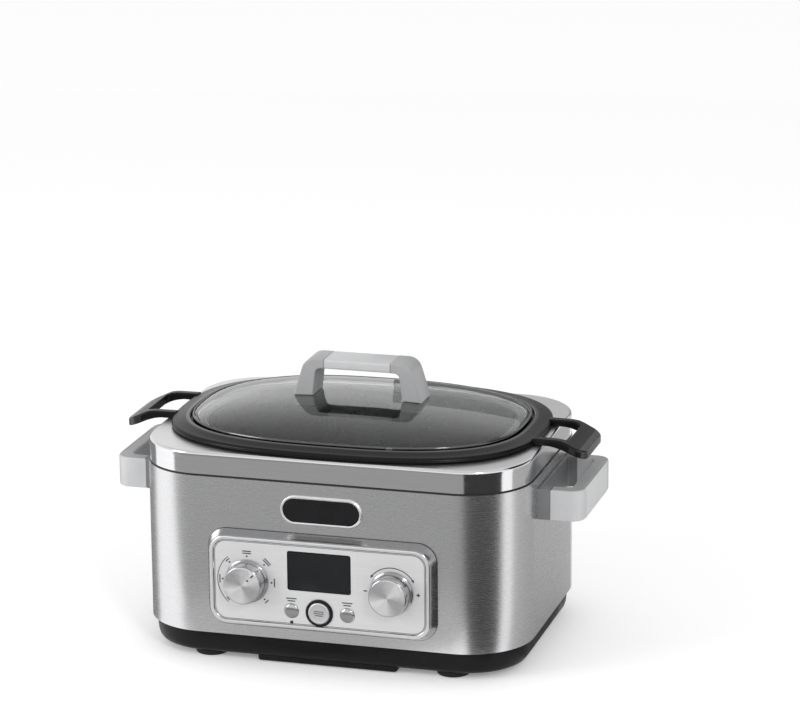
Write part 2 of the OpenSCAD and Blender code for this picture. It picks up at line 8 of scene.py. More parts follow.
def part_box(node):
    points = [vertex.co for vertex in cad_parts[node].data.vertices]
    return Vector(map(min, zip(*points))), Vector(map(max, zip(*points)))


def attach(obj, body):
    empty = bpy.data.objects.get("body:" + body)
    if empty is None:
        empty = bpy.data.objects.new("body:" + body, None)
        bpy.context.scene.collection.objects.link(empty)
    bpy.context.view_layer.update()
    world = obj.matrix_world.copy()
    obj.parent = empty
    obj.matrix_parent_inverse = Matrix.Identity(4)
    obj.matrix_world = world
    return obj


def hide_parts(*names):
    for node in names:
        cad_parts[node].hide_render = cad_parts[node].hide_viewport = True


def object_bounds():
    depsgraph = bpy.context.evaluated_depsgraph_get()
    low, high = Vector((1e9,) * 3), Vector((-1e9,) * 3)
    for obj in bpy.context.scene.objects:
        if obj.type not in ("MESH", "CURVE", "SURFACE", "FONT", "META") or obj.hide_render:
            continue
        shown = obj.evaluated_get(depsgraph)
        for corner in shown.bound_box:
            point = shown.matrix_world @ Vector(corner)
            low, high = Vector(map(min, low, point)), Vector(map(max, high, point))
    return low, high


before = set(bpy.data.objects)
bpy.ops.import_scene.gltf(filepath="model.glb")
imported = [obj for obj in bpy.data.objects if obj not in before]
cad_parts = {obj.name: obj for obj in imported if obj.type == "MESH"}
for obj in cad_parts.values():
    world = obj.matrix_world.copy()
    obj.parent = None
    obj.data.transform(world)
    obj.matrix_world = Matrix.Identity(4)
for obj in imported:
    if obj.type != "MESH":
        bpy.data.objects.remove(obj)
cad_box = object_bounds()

# Shapes are written in millimetres around the housing's middle, as in part.scad, and stored in metres.
MM = 0.001
housing_low, housing_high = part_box("outer_housing")
MIDDLE_Y = (housing_low.y + housing_high.y) / 2 / MM


# ---------------- measures, read from the frame

def span(node, axis):
    """Lowest and highest place of a CAD node along an axis, in the script's own millimetres."""
    shift = MIDDLE_Y if axis == "y" else 0
    return [round(getattr(corner, axis) / MM - shift, 2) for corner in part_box(node)]


def middle(node, axis):
    return sum(span(node, axis)) / 2


HALF_W, HALF_D = span("outer_housing", "x")[1], span("outer_housing", "y")[1]
CORNER = 67.0                                   # the housing's corner radius
FRONT_Y, FASCIA_Y = -HALF_D, span("panel_fascia", "y")[0]
COVER_LOW, COVER_TOP = span("top_cover", "z")
WELL_A, WELL_B = 161.8, 117.8                   # half axes of the well's opening
PANEL_Z, WINDOW_Z = middle("panel_bezel", "z"), middle("display_window", "z")
BADGE_Z = middle("badge_plate", "z")
DIAL_X, DIAL_Z = middle("adjust_skirt", "x"), middle("adjust_skirt", "z")
SKIRT_Y, CAP_Y = FASCIA_Y - 0.3, FASCIA_Y - 4.3
KEY_X, KEY_Z = middle("set_button", "x"), middle("set_button", "z")
GRIP_IN, GRIP_OUT = span("right_handle_grip", "x")
GRIP_LOW, GRIP_TOP = span("right_handle_grip", "z")
POT_LOW, POT_TOP = span("cooking_pot", "z")
FLANGE_A, FLANGE_Z = 192.5, 218.9               # the pot flange's half width and underside
RACK_A, RACK_B = span("rack_rim_wire", "x")[1] - 2, span("rack_rim_wire", "y")[1] - 2
RACK_RIM, RACK_DEPTH = middle("rack_rim_wire", "z"), 15.0
MESH_PITCH, MESH_R = 5.0, 0.3
BAND_A, BAND_B = span("lid_rim_band", "x")[1], span("lid_rim_band", "y")[1]
LID_Z = span("lid_rim_band", "z")[0]
GLASS_A, GLASS_B, DOME_Z = span("lid_glass", "x")[1], span("lid_glass", "y")[1], 229.3
BAR_LOW, BAR_TOP = span("lid_handle_bar", "z")
PRINT_T = 0.12                                  # thickness of the panel's printing
OVAL = 2.7                                      # power of the superellipse of well, pot and lid


# ---------------- materials

def new_material(name):
    mat = bpy.data.materials.new(name)
    mat.use_nodes = True
    tree = mat.node_tree
    return mat, tree, tree.nodes["Principled BSDF"]


def set_inputs(node, values):
    """Sets a node's inputs by name; an underscore stands for a space."""
    for socket, value in values.items():
        node.inputs[socket.replace("_", " ")].default_value = value
    return node


def add_node(tree, kind, operation=None, **values):
    node = tree.nodes.new("ShaderNode" + kind)
    if operation:
        node.operation = operation
    return set_inputs(node, values)


def noise(tree, scale, detail=4.0, stretch=(1, 1, 1), seed=0.0):
    coords = add_node(tree, "TexCoord")
    mapping = add_node(tree, "Mapping", Scale=stretch, Location=(seed, seed * 0.7, seed * 1.3))
    texture = add_node(tree, "TexNoise", Scale=scale, Detail=detail)
    tree.links.new(coords.outputs["Object"], mapping.inputs["Vector"])
    tree.links.new(mapping.outputs["Vector"], texture.inputs["Vector"])
    return texture.outputs["Fac"]


def map_range(tree, value, low, high, source=(0.3, 0.7)):
    node = add_node(tree, "MapRange", From_Min=source[0], From_Max=source[1], To_Min=low, To_Max=high)
    tree.links.new(value, node.inputs["Value"])
    return node.outputs["Result"]


def scaled_colour(tree, colour, factor):
    node = add_node(tree, "VectorMath", "SCALE")
    tree.links.new(colour, node.inputs[0])
    tree.links.new(factor, node.inputs["Scale"])
    return node.outputs["Vector"]


def add_relief(tree, shader, height, depth):
    bump = add_node(tree, "Bump", Strength=1.0, Distance=depth)
    tree.links.new(height, bump.inputs["Height"])
    tree.links.new(bump.outputs["Normal"], shader.inputs["Normal"])


def surface(name, colour, rough, metallic=0.0, vary=0.05, rough_vary=0.04, scale=60.0, stretch=(1, 1, 1),
            bump=0.0, bump_scale=900.0, tangent=None, painted_top_shade=None, **sockets):
    """A Principled material whose colour, roughness and fine relief come from object-space noise."""
    mat, tree, shader = new_material(name)
    blotches = noise(tree, scale, 4.0, stretch, seed=0.37)
    mix = add_node(tree, "Mix")
    mix.data_type = "RGBA"
    mix.inputs[6].default_value = (*[max(c * (1 - vary), 0) for c in colour], 1)
    mix.inputs[7].default_value = (*[min(c * (1 + vary), 1) for c in colour], 1)
    tree.links.new(map_range(tree, blotches, 0, 1), mix.inputs[0])
    tint = mix.outputs[2]
    if painted_top_shade:  # painted shade: faces that look up are made a little darker in colour
        coords, split = add_node(tree, "TexCoord"), add_node(tree, "SeparateXYZ")
        tree.links.new(coords.outputs["Normal"], split.inputs[0])
        tint = scaled_colour(tree, tint, map_range(tree, split.outputs["Z"], 1, painted_top_shade, (0.5, 0.98)))
    tree.links.new(tint, shader.inputs["Base Color"])
    tree.links.new(map_range(tree, blotches, max(rough - rough_vary, 0.02), rough + rough_vary),
                   shader.inputs["Roughness"])
    shader.inputs["Metallic"].default_value = metallic
    if bump:
        add_relief(tree, shader, noise(tree, bump_scale, 3.0, stretch, seed=1.9), bump)
    if tangent:
        node = add_node(tree, "Tangent")
        node.direction_type = "RADIAL"
        node.axis = tangent
        tree.links.new(node.outputs["Tangent"], shader.inputs["Tangent"])
    set_inputs(shader, sockets)
    return mat


BRUSH_ROUND = (0.03, 0.03, 1)      # streaks that run level round the housing
BRUSH_X = (0.03, 1, 1)             # streaks that run from side to side

# After the name and colour come roughness, metallic, how far colour and roughness vary, and the noise's
# scale and stretch.
MATERIALS = {
    "housing": surface("brushed_housing", (0.76, 0.76, 0.77), 0.27, 1.0, 0.005, 0.010, 1300, BRUSH_ROUND,
        bump=0.0000002, bump_scale=2600, tangent="Z", Anisotropic=0.4),
    "cover_top": surface("satin_cover_top", (0.80, 0.80, 0.81), 0.34, 1.0, 0.015, 0.03, 900, BRUSH_X,
        bump=0.000005, bump_scale=1500),
    "cover_side": surface("polished_cover_side", (0.80, 0.80, 0.81), 0.12, 1.0, 0.03, 0.03, 500, BRUSH_ROUND,
        bump=0.000002, bump_scale=1200),
    "trim": surface("dark_chrome_trim", (0.035, 0.035, 0.036), 0.10, 1.0, 0.03, 0.02, 90),
    "well": surface("satin_well", (0.93, 0.93, 0.93), 0.36, 0.38, 0.02, 0.03, 400, BRUSH_ROUND,
        bump=0.000006, bump_scale=900),
    "well_edge": surface("polished_well_edge", (0.92, 0.92, 0.92), 0.12, 1.0, 0.02, 0.03, 200),
    # Painted shade: the bezel's slopes take a darker colour than its forward-facing lip.
    "bezel": surface("polished_bezel_painted_shade", (0.40, 0.40, 0.405), 0.20, 1.0, 0.02, 0.03, 90),
    "bezel_lip": surface("satin_bezel_lip", (0.70, 0.70, 0.705), 0.34, 0.6, 0.02, 0.03, 90),
    "fascia": surface("satin_fascia", (0.74, 0.74, 0.745), 0.40, 0.5, 0.02, 0.04, 800, BRUSH_X,
        bump=0.000003, bump_scale=1800),
    "dial_face": surface("spun_dial_face", (0.95, 0.95, 0.955), 0.22, 0.88, 0.03, 0.03, 300,
        tangent="Y", Anisotropic=0.95),
    # Painted reflection: the dial's side and skirt are given dark colours that stand in for the dark
    # reflections round the dials.
    "dial_side": surface("polished_dial_side_painted_reflection", (0.44, 0.44, 0.45), 0.11, 1.0, 0.02, 0.02, 200),
    "skirt": surface("satin_dial_skirt_painted_reflection", (0.42, 0.42, 0.43), 0.16, 1.0, 0.03, 0.03, 200),
    "button": surface("polished_button", (0.55, 0.55, 0.56), 0.12, 1.0, 0.02, 0.03, 200),
    "start": surface("satin_start_button", (0.84, 0.84, 0.85), 0.42, 1.0, 0.02, 0.03, 600,
        bump=0.000004, bump_scale=1500),
    "ring": surface("black_button_ring", (0.008, 0.008, 0.009), 0.32, 0, 0.2, 0.06, 300,
        bump=0.00001, bump_scale=3000, Specular_IOR_Level=0.25),
    "lens": surface("dark_indicator_lens", (0.010, 0.006, 0.006), 0.12, 0, 0.1, 0.02, 300, Coat_Weight=0.6),
    "window": surface("display_glass", (0.012, 0.013, 0.014), 0.25, 0, 0.06, 0.03, 40,
        Specular_IOR_Level=0.2),
    "window_edge": surface("display_border", (0.003, 0.003, 0.003), 0.25, 0, 0.1, 0.03, 40,
        Specular_IOR_Level=0.2),
    "enamel": surface("badge_enamel", (0.008, 0.008, 0.009), 0.22, 0, 0.15, 0.03, 60,
        bump=0.000004, bump_scale=900, Specular_IOR_Level=0.3),
    "badge_rim": surface("badge_rim", (0.95, 0.95, 0.95), 0.40, 1.0, 0.02, 0.02, 100),
    "tray": surface("tray_plastic", (0.006, 0.006, 0.0065), 0.36, 0, 0.15, 0.06, 50,
        bump=0.00002, bump_scale=1700, Specular_IOR_Level=0.16),
    "rubber": surface("foot_rubber", (0.010, 0.010, 0.010), 0.6, 0, 0.2, 0.08, 120,
        bump=0.00004, bump_scale=1400, Specular_IOR_Level=0.2),
    # The black rubber also serves the panel bezel as painted gap shade.
    "gasket": surface("gasket_rubber", (0.008, 0.008, 0.008), 0.55, 0, 0.2, 0.05, 200,
        bump=0.00001, bump_scale=1500),
    "bracket": surface("bracket_plastic", (0.17, 0.172, 0.176), 0.42, 0, 0.06, 0.05, 60,
        bump=0.000012, bump_scale=2200),
    # The grip and the side inlay take painted shade on the faces that look up.
    "grip": surface("grip_plastic", (0.50, 0.502, 0.51), 0.36, 0, 0.03, 0.05, 60,
        bump=0.00001, bump_scale=2400, painted_top_shade=0.66, Coat_Weight=0.15),
    "lid_grip": surface("lid_grip_plastic", (0.36, 0.362, 0.368), 0.36, 0, 0.03, 0.05, 60,
        bump=0.00001, bump_scale=2400, Coat_Weight=0.15),
    "side_grip": surface("side_inlay_plastic", (0.60, 0.602, 0.61), 0.34, 0, 0.025, 0.05, 60,
        bump=0.00001, bump_scale=2400, painted_top_shade=0.62, Coat_Weight=0.2),
    "light_grip": surface("light_grip_plastic", (0.54, 0.542, 0.55), 0.34, 0, 0.025, 0.05, 60,
        bump=0.00001, bump_scale=2400, Coat_Weight=0.2),
    "screw": surface("screw_steel", (0.55, 0.55, 0.55), 0.28, 1.0, 0.06, 0.06, 400,
        bump=0.00001, bump_scale=2500),
    "pot": surface("pot_coating", (0.004, 0.004, 0.0044), 0.28, 0, 0.04, 0.01, 200, Specular_IOR_Level=0.20),
    "pot_wall": surface("pot_wall_coating", (0.003, 0.003, 0.0033), 0.24, 0, 0.04, 0.01, 200,
        Specular_IOR_Level=0.9),
    # Painted highlight: the pot's ridge and step take a glossier copy of the coating whose lighter colour
    # paints a bright line along them.
    "pot_edge": surface("pot_edge_painted_highlight", (0.02, 0.02, 0.021), 0.20, 0.25, 0.06, 0.02, 200,
        Specular_IOR_Level=1.0),
    "wire": surface("rack_wire_steel", (0.27, 0.27, 0.275), 0.22, 1.0, 0.05, 0.05, 300,
        bump=0.000004, bump_scale=1500),
    "band": surface("lid_band_steel", (0.14, 0.14, 0.144), 0.14, 1.0, 0.02, 0.02, 120),
    "clamp": surface("clamp_metal", (0.50, 0.50, 0.51), 0.32, 1.0, 0.04, 0.05, 300,
        bump=0.000006, bump_scale=1200),
    "heater": surface("heater_alloy", (0.42, 0.42, 0.42), 0.42, 1.0, 0.08, 0.08, 120,
        bump=0.00002, bump_scale=700),
    "heat_band": surface("heat_band_metal", (0.50, 0.38, 0.22), 0.4, 1.0, 0.1, 0.08, 120,
        bump=0.00002, bump_scale=500),
    "blanket": surface("blanket_fibre", (0.66, 0.61, 0.50), 0.9, 0, 0.12, 0.05, 180,
        bump=0.0004, bump_scale=600),
    "shield": surface("shield_steel", (0.48, 0.48, 0.49), 0.38, 1.0, 0.06, 0.06, 300, BRUSH_X,
        bump=0.00001, bump_scale=900),
    "board": surface("circuit_board", (0.02, 0.13, 0.05), 0.45, 0, 0.25, 0.08, 700,
        bump=0.00003, bump_scale=1200),
    "component": surface("component_plastic", (0.025, 0.026, 0.03), 0.45, 0, 0.15, 0.06, 300,
        bump=0.00002, bump_scale=1500),
    "ceramic": surface("cutout_ceramic", (0.74, 0.70, 0.62), 0.5, 0, 0.05, 0.05, 200,
        bump=0.00002, bump_scale=900),
    "print": surface("panel_print", (0.03, 0.03, 0.033), 0.5, 0, 0.15, 0.05, 600),
}


def glass_material():
    mat, tree, shader = new_material("lid_glass")
    ripple = noise(tree, 14, 2.0, seed=0.6)
    add_relief(tree, shader, ripple, 0.00012)
    tree.links.new(map_range(tree, ripple, 0.0, 0.012), shader.inputs["Roughness"])
    set_inputs(shader, {"Base Color": (0.83, 0.845, 0.85, 1), "Transmission Weight": 1.0, "IOR": 1.5})
    return mat


def paint_sheen_into_colour(mat, low=0.6, high=1.06, turn=-20):
    """Painted sheen: two pale and two darker sectors round the middle multiply the face's colour, standing
    in for the highlights a spun face catches.
    """
    tree = mat.node_tree
    base = tree.nodes["Principled BSDF"].inputs["Base Color"]
    coords, split = add_node(tree, "TexCoord"), add_node(tree, "SeparateXYZ")
    shift = add_node(tree, "VectorMath", "SUBTRACT")
    shift.inputs[1].default_value = (0.5, 0.5, 0.5)
    angle, wave = add_node(tree, "Math", "ARCTAN2"), add_node(tree, "Math", "SINE")
    double = add_node(tree, "Math", "MULTIPLY_ADD")
    double.inputs[1].default_value = 2.0
    double.inputs[2].default_value = math.radians(turn)
    tree.links.new(coords.outputs["Generated"], shift.inputs[0])
    tree.links.new(shift.outputs[0], split.inputs[0])
    tree.links.new(split.outputs["Z"], angle.inputs[0])
    tree.links.new(split.outputs["X"], angle.inputs[1])
    tree.links.new(angle.outputs[0], double.inputs[0])
    tree.links.new(double.outputs[0], wave.inputs[0])
    painted_sheen = map_range(tree, wave.outputs[0], low, high, (-0.9, 0.4))
    tree.links.new(scaled_colour(tree, base.links[0].from_socket, painted_sheen), base)


MATERIALS["glass"] = glass_material()
# The dial faces get painted sheen in their colour.
paint_sheen_into_colour(MATERIALS["dial_face"])


# ---------------- mesh helpers

class Shape:
    """Vertices and faces collected from several parts; each face keeps a material number."""

    def __init__(self):
        self.verts, self.faces, self.mats = [], [], []

    def add(self, part, mat=0):
        verts, faces = part
        base = len(self.verts)
        self.verts += verts
        self.faces += [[base + i for i in f] for f in faces]
        self.mats += [mat] * len(faces)
        return self


def add_object(name, data):
    obj = bpy.data.objects.new(name, data)
    bpy.context.scene.collection.objects.link(obj)
    return obj


def in_mm(point):
    """A mesh point in the script's own millimetres."""
    return point.x / MM, point.y / MM - MIDDLE_Y, point.z / MM


def piece(name, part, body, slot, materials, replaces=(), sharp=32, edit=None, paint=None):
    """One visible object from (vertices, faces) or a Shape, riding on a CAD body."""
    shape = part if isinstance(part, Shape) else Shape().add(part)
    mesh = bpy.data.meshes.new(name)
    mesh.from_pydata([(x * MM, (y + MIDDLE_Y) * MM, z * MM) for x, y, z in shape.verts], [], shape.faces)
    mesh.polygons.foreach_set("material_index", shape.mats)
    bm = bmesh.new()
    bm.from_mesh(mesh)
    bmesh.ops.remove_doubles(bm, verts=bm.verts, dist=1e-6)
    bmesh.ops.recalc_face_normals(bm, faces=bm.faces)
    if edit:
        edit(bm)
    bm.normal_update()
    if paint:
        for f in bm.faces:
            f.material_index = paint(f)
    bm.to_mesh(mesh)
    bm.free()
    for key in [materials] if isinstance(materials, str) else materials:
        mesh.materials.append(MATERIALS[key])
    mesh.shade_smooth()
    mesh.set_sharp_from_angle(angle=math.radians(sharp))
    obj = add_object(name, mesh)
    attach(obj, body)
    if replaces:
        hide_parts(*replaces)


def quarter(steps, first=0):
    """Pairs of sine and cosine at even steps over a quarter turn."""
    turns = [math.radians(90 * k / steps) for k in range(first, steps + 1)]
    return [(math.sin(t), math.cos(t)) for t in turns]


def loft(rings, caps=True, closed=False):
    """Skins rings of equally many points; closed joins the last ring to the first."""
    n, m = len(rings), len(rings[0])
    verts = [tuple(p) for ring in rings for p in ring]
    faces = []
    for k in range(n if closed else n - 1):
        a, b = k * m, (k + 1) % n * m
        faces += [[a + i, a + (i + 1) % m, b + (i + 1) % m, b + i] for i in range(m)]
    if caps and not closed:
        faces += [list(range(m))[::-1], [(n - 1) * m + i for i in range(m)]]
    return verts, faces


def oval_share(x, y, a, b):
    """0 in the middle of the superellipse with half axes a and b, and 1 on its outline."""
    return (abs(x / a) ** OVAL + abs(y / b) ** OVAL) ** (1 / OVAL)


def oval(a, b, z, n=192):
    ring = []
    for i in range(n):
        t = 2 * math.pi * i / n
        c, s = math.cos(t), math.sin(t)
        k = 1 / oval_share(c, s, 1, 1)
        ring.append((a * k * c, b * k * s, z))
    return ring


def oval_along(guide, a, b, z):
    """A superellipse ring whose points lie in the same directions as those of a guide ring."""
    return [(x / oval_share(x, y, a, b), y / oval_share(x, y, a, b), z) for x, y, _ in guide]


def box_ring(hx, hy, r, z, corner=20, along=12):
    """A rectangle with round corners, as a ring at height z."""
    def point(k, turn):
        sx, sy = ((1, 1), (-1, 1), (-1, -1), (1, -1))[k % 4]
        t = math.radians(90 * k + turn)
        return sx * (hx - r) + r * math.cos(t), sy * (hy - r) + r * math.sin(t)

    ring = []
    for k in range(4):
        ring += [(*point(k, 90 * i / corner), z) for i in range(corner + 1)]
        (x0, y0), (x1, y1) = point(k, 90), point(k + 1, 0)
        ring += [(x0 + (x1 - x0) * i / along, y0 + (y1 - y0) * i / along, z) for i in range(1, along)]
    return ring


def plan_ring(d, z):
    """The housing's outline from above, moved inwards by d."""
    return box_ring(HALF_W - d, HALF_D - d, CORNER - d, z)


def upright(ring, y, z0):
    """Stands a flat ring up in front of the panel: its second value becomes height."""
    return [(x, y, z0 + v) for x, v, _ in ring]


def arc(cx, cy, r, start, end, steps):
    turns = [math.radians(start + (end - start) * i / steps) for i in range(steps + 1)]
    return [(cx + r * math.cos(t), cy + r * math.sin(t)) for t in turns]


def lathe(profile, centre, axis="z", segs=96):
    """Turns (radius, height) pairs about an upright axis, or about one that points to the front."""
    x0, y0, z0 = centre
    rings = []
    for r, h in profile:
        r = max(r, 0.001)
        turns = [2 * math.pi * i / segs for i in range(segs)]
        if axis == "z":
            rings.append([(x0 + r * math.cos(t), y0 + r * math.sin(t), z0 + h) for t in turns])
        else:
            rings.append([(x0 + r * math.cos(t), y0 - h, z0 + r * math.sin(t)) for t in turns])
    return rings


def turned(profile, centre, axis="y", segs=96):
    return loft(lathe(profile, centre, axis, segs))


def turned_ring(profile, centre, axis="y", segs=96):
    return loft(lathe(profile, centre, axis, segs), closed=True)


def peg(r, tall, edge):
    """The profile of a round peg whose far edge is bevelled."""
    return [(0, 0), (r, 0), (r, tall - edge), (r - edge, tall), (0, tall)]


def rectangle(x0, y0, x1, y1, r):
    return [(x0, y0, r), (x1, y0, r), (x1, y1, r), (x0, y1, r)]


def fillet(corners, steps=8):
    """Rounds a flat outline given as (x, y, radius) corners."""
    out = []
    n = len(corners)
    for i, (x, y, r) in enumerate(corners):
        p = Vector((x, y))
        if r <= 0:
            out.append((x, y))
            continue
        a = (Vector(corners[i - 1][:2]) - p).normalized()
        b = (Vector(corners[(i + 1) % n][:2]) - p).normalized()
        half = a.angle(b) / 2
        reach = r / math.tan(half)
        centre = p + (a + b).normalized() * (r / math.sin(half))
        s, e = p + a * reach - centre, p + b * reach - centre
        start = math.atan2(s.y, s.x)
        turn = (math.atan2(e.y, e.x) - start + math.pi) % (2 * math.pi) - math.pi
        for k in range(steps + 1):
            t = start + turn * k / steps
            out.append((centre.x + r * math.cos(t), centre.y + r * math.sin(t)))
    return out


def shrink(corners, d):
    """Moves a counter-clockwise outline of (x, y, radius) corners inwards by d."""
    out = []
    for i, (x, y, r) in enumerate(corners):
        p = Vector((x, y))
        u = (p - Vector(corners[i - 1][:2])).normalized()
        v = (Vector(corners[(i + 1) % len(corners)][:2]) - p).normalized()
        m = Vector((-u.y - v.y, u.x + v.x))
        m = m / (m.length_squared / 2)
        if r > 0:
            r = max(r - d, 0.02) if u.x * v.y - u.y * v.x > 0 else r + d
        out.append((x + m.x * d, y + m.y * d, r))
    return out


def soft_extrude(corners, low, high, r, where, steps=4, round_steps=8):
    """Thickens an outline from low to high with round edges; where maps (u, v, h) to a point."""
    inset = 0.3
    levels = [(r + inset, low)]
    levels += [(r * (1 - s), low + r * (1 - c)) for s, c in quarter(steps)]
    levels += [(r * (1 - c), high - r * (1 - s)) for s, c in quarter(steps)]
    levels += [(r + inset, high)]
    return loft([[where(u, v, h) for u, v in fillet(shrink(corners, d), round_steps)]
                 for d, h in levels])


def flat_up(u, v, h):
    return (u, v, h)


def mirror_left(u, v, h):
    return (-u, v, h)


def tube(path, r, sides=8, closed=False):
    """A round wire along points, with frames carried along it."""
    pts = [Vector(p) for p in path]
    n = len(pts)
    tangents = []
    for i in range(n):
        a = pts[i - 1] if (closed or i > 0) else pts[i]
        b = pts[(i + 1) % n] if (closed or i < n - 1) else pts[i]
        tangents.append((b - a).normalized())
    side = tangents[0].orthogonal().normalized()
    turns = [2 * math.pi * k / sides for k in range(sides)]
    rings = []
    for p, t in zip(pts, tangents):
        side = (side - t * side.dot(t)).normalized()
        up = t.cross(side)
        rings.append([tuple(p + r * (math.cos(a) * side + math.sin(a) * up)) for a in turns])
    if not closed:
        return loft(rings)
    # The frame comes back a little twisted, so the last ring joins the first from its nearest point.
    verts, faces = loft(rings, closed=True)
    start = Vector(rings[0][0])
    shift = min(range(sides), key=lambda k: (Vector(rings[-1][k]) - start).length)
    last = (n - 1) * sides
    faces[last:] = [[last + (i + shift) % sides, last + (i + 1 + shift) % sides, (i + 1) % sides, i]
                    for i in range(sides)]
    return verts, faces


# ---------------- base: tray, feet, cover, trim, well

SIGNS = [(sx, sy) for sx in (-1, 1) for sy in (-1, 1)]


def build_tray():
    outer = [(5.4, 30), (5, 29.6), (5, 24), (5.2, 19), (5.8, 14), (7.0, 10.2), (9.0, 7.6), (11.5, 6.3),
             (14.5, 6)]
    inner = [(12.5, 9), (9, 12), (8, 17), (8, 29.6), (7.8, 30)]
    shape = Shape().add(loft([plan_ring(d, z) for d, z in inner + outer]))
    rib = rectangle(-73, FRONT_Y + 10, 73, FRONT_Y + 24, 4)
    shape.add(soft_extrude(rib, 1, 7.5, 1.6, flat_up))
    for sx, sy in SIGNS:
        for x, y, tall in ((181, 50, 21), (140, 85, 53)):
            shape.add(turned(peg(5, tall, 0.3), (sx * x, sy * y, 9), "z", 32))
    piece("tray_shell", shape, "base", "tray_plastic", "tray", ["base_tray"])


def build_feet():
    profile = [(0, 0.5), (11, 0.5), (11.4, 0.1), (12, 0), (15.2, 0), (16.2, 0.4), (16.8, 1.2), (17, 2.2),
               (17, 5.6), (16.6, 6), (0, 6)]
    for side, sx in (("left", -1), ("right", 1)):
        for end, sy in (("front", -1), ("back", 1)):
            foot = turned(profile, (sx * 127, sy * 115, 0), "z", 64)
            piece(f"rubber_foot_{end}_{side}", foot, "base", "foot_rubber", "rubber", [f"foot_{end}_{side}"])


def build_cover():
    edge, lip_edge, sheet, gasket = 3.0, 1.9, 2, 0.9
    guide = plan_ring(1, 0)

    def side(d, z):
        return plan_ring(1 + d, z)

    def lip(d, z):
        return oval_along(guide, 180 + d, 136 + d, z)

    rings = [side(d, COVER_LOW + h) for d, h in
             ((2, 0), (0.5, 0), (0.15, 0.15), (0, 0.5), (0, gasket), (0, 8), (0, 16))]
    rings += [side(edge * (1 - c), COVER_TOP - edge * (1 - s)) for s, c in quarter(8)]
    rings += [side(edge + 0.4, COVER_TOP), lip(2.6, COVER_TOP)]
    rings += [lip(lip_edge * (1 - s), COVER_TOP - lip_edge * (1 - c)) for s, c in quarter(6)]
    rings += [lip(0.3, COVER_TOP - sheet), lip(3, COVER_TOP - sheet), side(2, COVER_TOP - sheet)]

    def paint(f):
        if in_mm(f.calc_center_median())[2] < COVER_LOW + gasket + 0.1:
            return 2
        return 0 if abs(f.normal.z) > 0.94 else 1

    piece("cover_shell", loft(rings, closed=True), "base", "cover_steel",
          ["cover_top", "cover_side", "gasket"], ["top_cover"], paint=paint)


def build_trim():
    profile = [(183, 214.6), (183, 216.3), (182, 216.5), (179.5, 216.4), (177.5, 215.9), (175.5, 215.3),
               (172, 215.1), (168.5, 215.2), (166.6, 215.8), (165.3, 216.4), (164, 216.6), (162.9, 216.4),
               (162.1, 215.8), (WELL_A, 215.0), (WELL_A, 214.6)]
    narrower = WELL_A - WELL_B
    bright_edge = 164.6
    shape = Shape().add(loft([oval(a, a - narrower, z, 240) for a, z in profile], closed=True))
    for sx in (-1, 1):
        tab = rectangle(sx * 170 - 5, -8, sx * 170 + 5, 8, 2)
        shape.add(soft_extrude(tab, 215.0, 217.6, 0.8, flat_up))

    def paint(f):
        x, y, _ = in_mm(f.calc_center_median())
        return 1 if oval_share(x, y, bright_edge, bright_edge - narrower) < 1 else 0

    piece("opening_trim", shape, "base", "trim_steel", ["trim", "well_edge"], ["well_trim"], paint=paint)


def build_well():
    floor, bend, sheet = 85.2, 14, 1.2
    profile = [(-bend + bend * s, floor + bend - bend * c) for s, c in quarter(8)]
    profile += [(0, 150), (0, 212)]
    profile += [(2 - 2 * c, 212.6 + 2 * s) for s, c in quarter(5, 1)]
    profile += [(13.7, 214.6), (14, 214.3), (14, 213.4), (3.2, 213.4), (sheet, 211.4), (sheet, 99)]
    profile += [(sheet - 15 * (1 - c), 99 - 15 * s) for s, c in quarter(8, 1)]
    rings = [oval(WELL_A + d, WELL_B + d, z, 240) for d, z in profile]
    piece("well_liner", loft(rings), "base", "well_steel", "well", ["heating_well"])
    plate = [oval(130 - d, 86 - d, floor + h) for d, h in
             ((0, 0), (0, 4), (0.6, 5.5), (2, 6), (34, 6), (35, 5.4), (37, 5.4), (38, 6))]
    piece("hot_plate", loft(plate), "base", "heater_alloy", "heater", ["heater_plate"])


# ---------------- base: panel, badge, dials, buttons

def build_bezel():
    # Each ring has a half width, a half height, a corner radius and a distance out from the housing's front.
    rings = [(118.9, 50.7, 19.9, 0), (118.9, 50.7, 19.9, 0.9), (118.5, 50.3, 19.7, 0.95),
             (118.6, 50.4, 19.8, 1.3)]
    rings += [(114.6 + 4 * t, 46.4 + 4 * t, 17.3 + 2.5 * t, 10.6 - 9.3 * t) for t in (0.66, 0.33, 0)]
    rings += [(114.2, 46.0, 17.0, 11.3), (113.5, 45.3, 16.6, 11.8), (112.6, 44.4, 15.9, 12),
              (111.3, 43.1, 14.7, 12), (110.6, 42.5, 14.1, 11.85), (110.0, 42.0, 13.5, 11.5),
              (109.6, 41.6, 13.1, 11.1), (109.5, 41.5, 13, 10.6), (109.5, 41.5, 13, 9),
              (102, 40.2, 10, 9), (102, 40.2, 10, 0)]
    shape = Shape().add(loft([upright(box_ring(hx, hz, r, 0, 16, 4), FRONT_Y - out, PANEL_Z)
                              for hx, hz, r, out in rings], closed=True))
    for sx, sz in SIGNS:
        shape.add(turned(peg(3, 17, 0.4), (sx * 98, FRONT_Y + 8, PANEL_Z + sz * 36), "y", 32))

    def paint(f):
        x, y, z = in_mm(f.calc_center_median())
        out = FRONT_Y - y
        # Painted shade: the strip against the housing and the walls that face inwards take the black rubber
        # colour, standing in for the gap shadows round the bezel.
        inward = f.normal.x * x + f.normal.z * (z - PANEL_Z) < -1 and out < 11.2
        if out < 0.93 or inward:
            return 1
        # painted shade: faces that look forward take the lighter lip colour, the slopes the darker bezel
        # colour.
        return 2 if f.normal.y < -0.9 else 0

    piece("panel_surround", shape, "base", "bezel_metal", ["bezel", "gasket", "bezel_lip"], ["panel_bezel"],
          paint=paint)


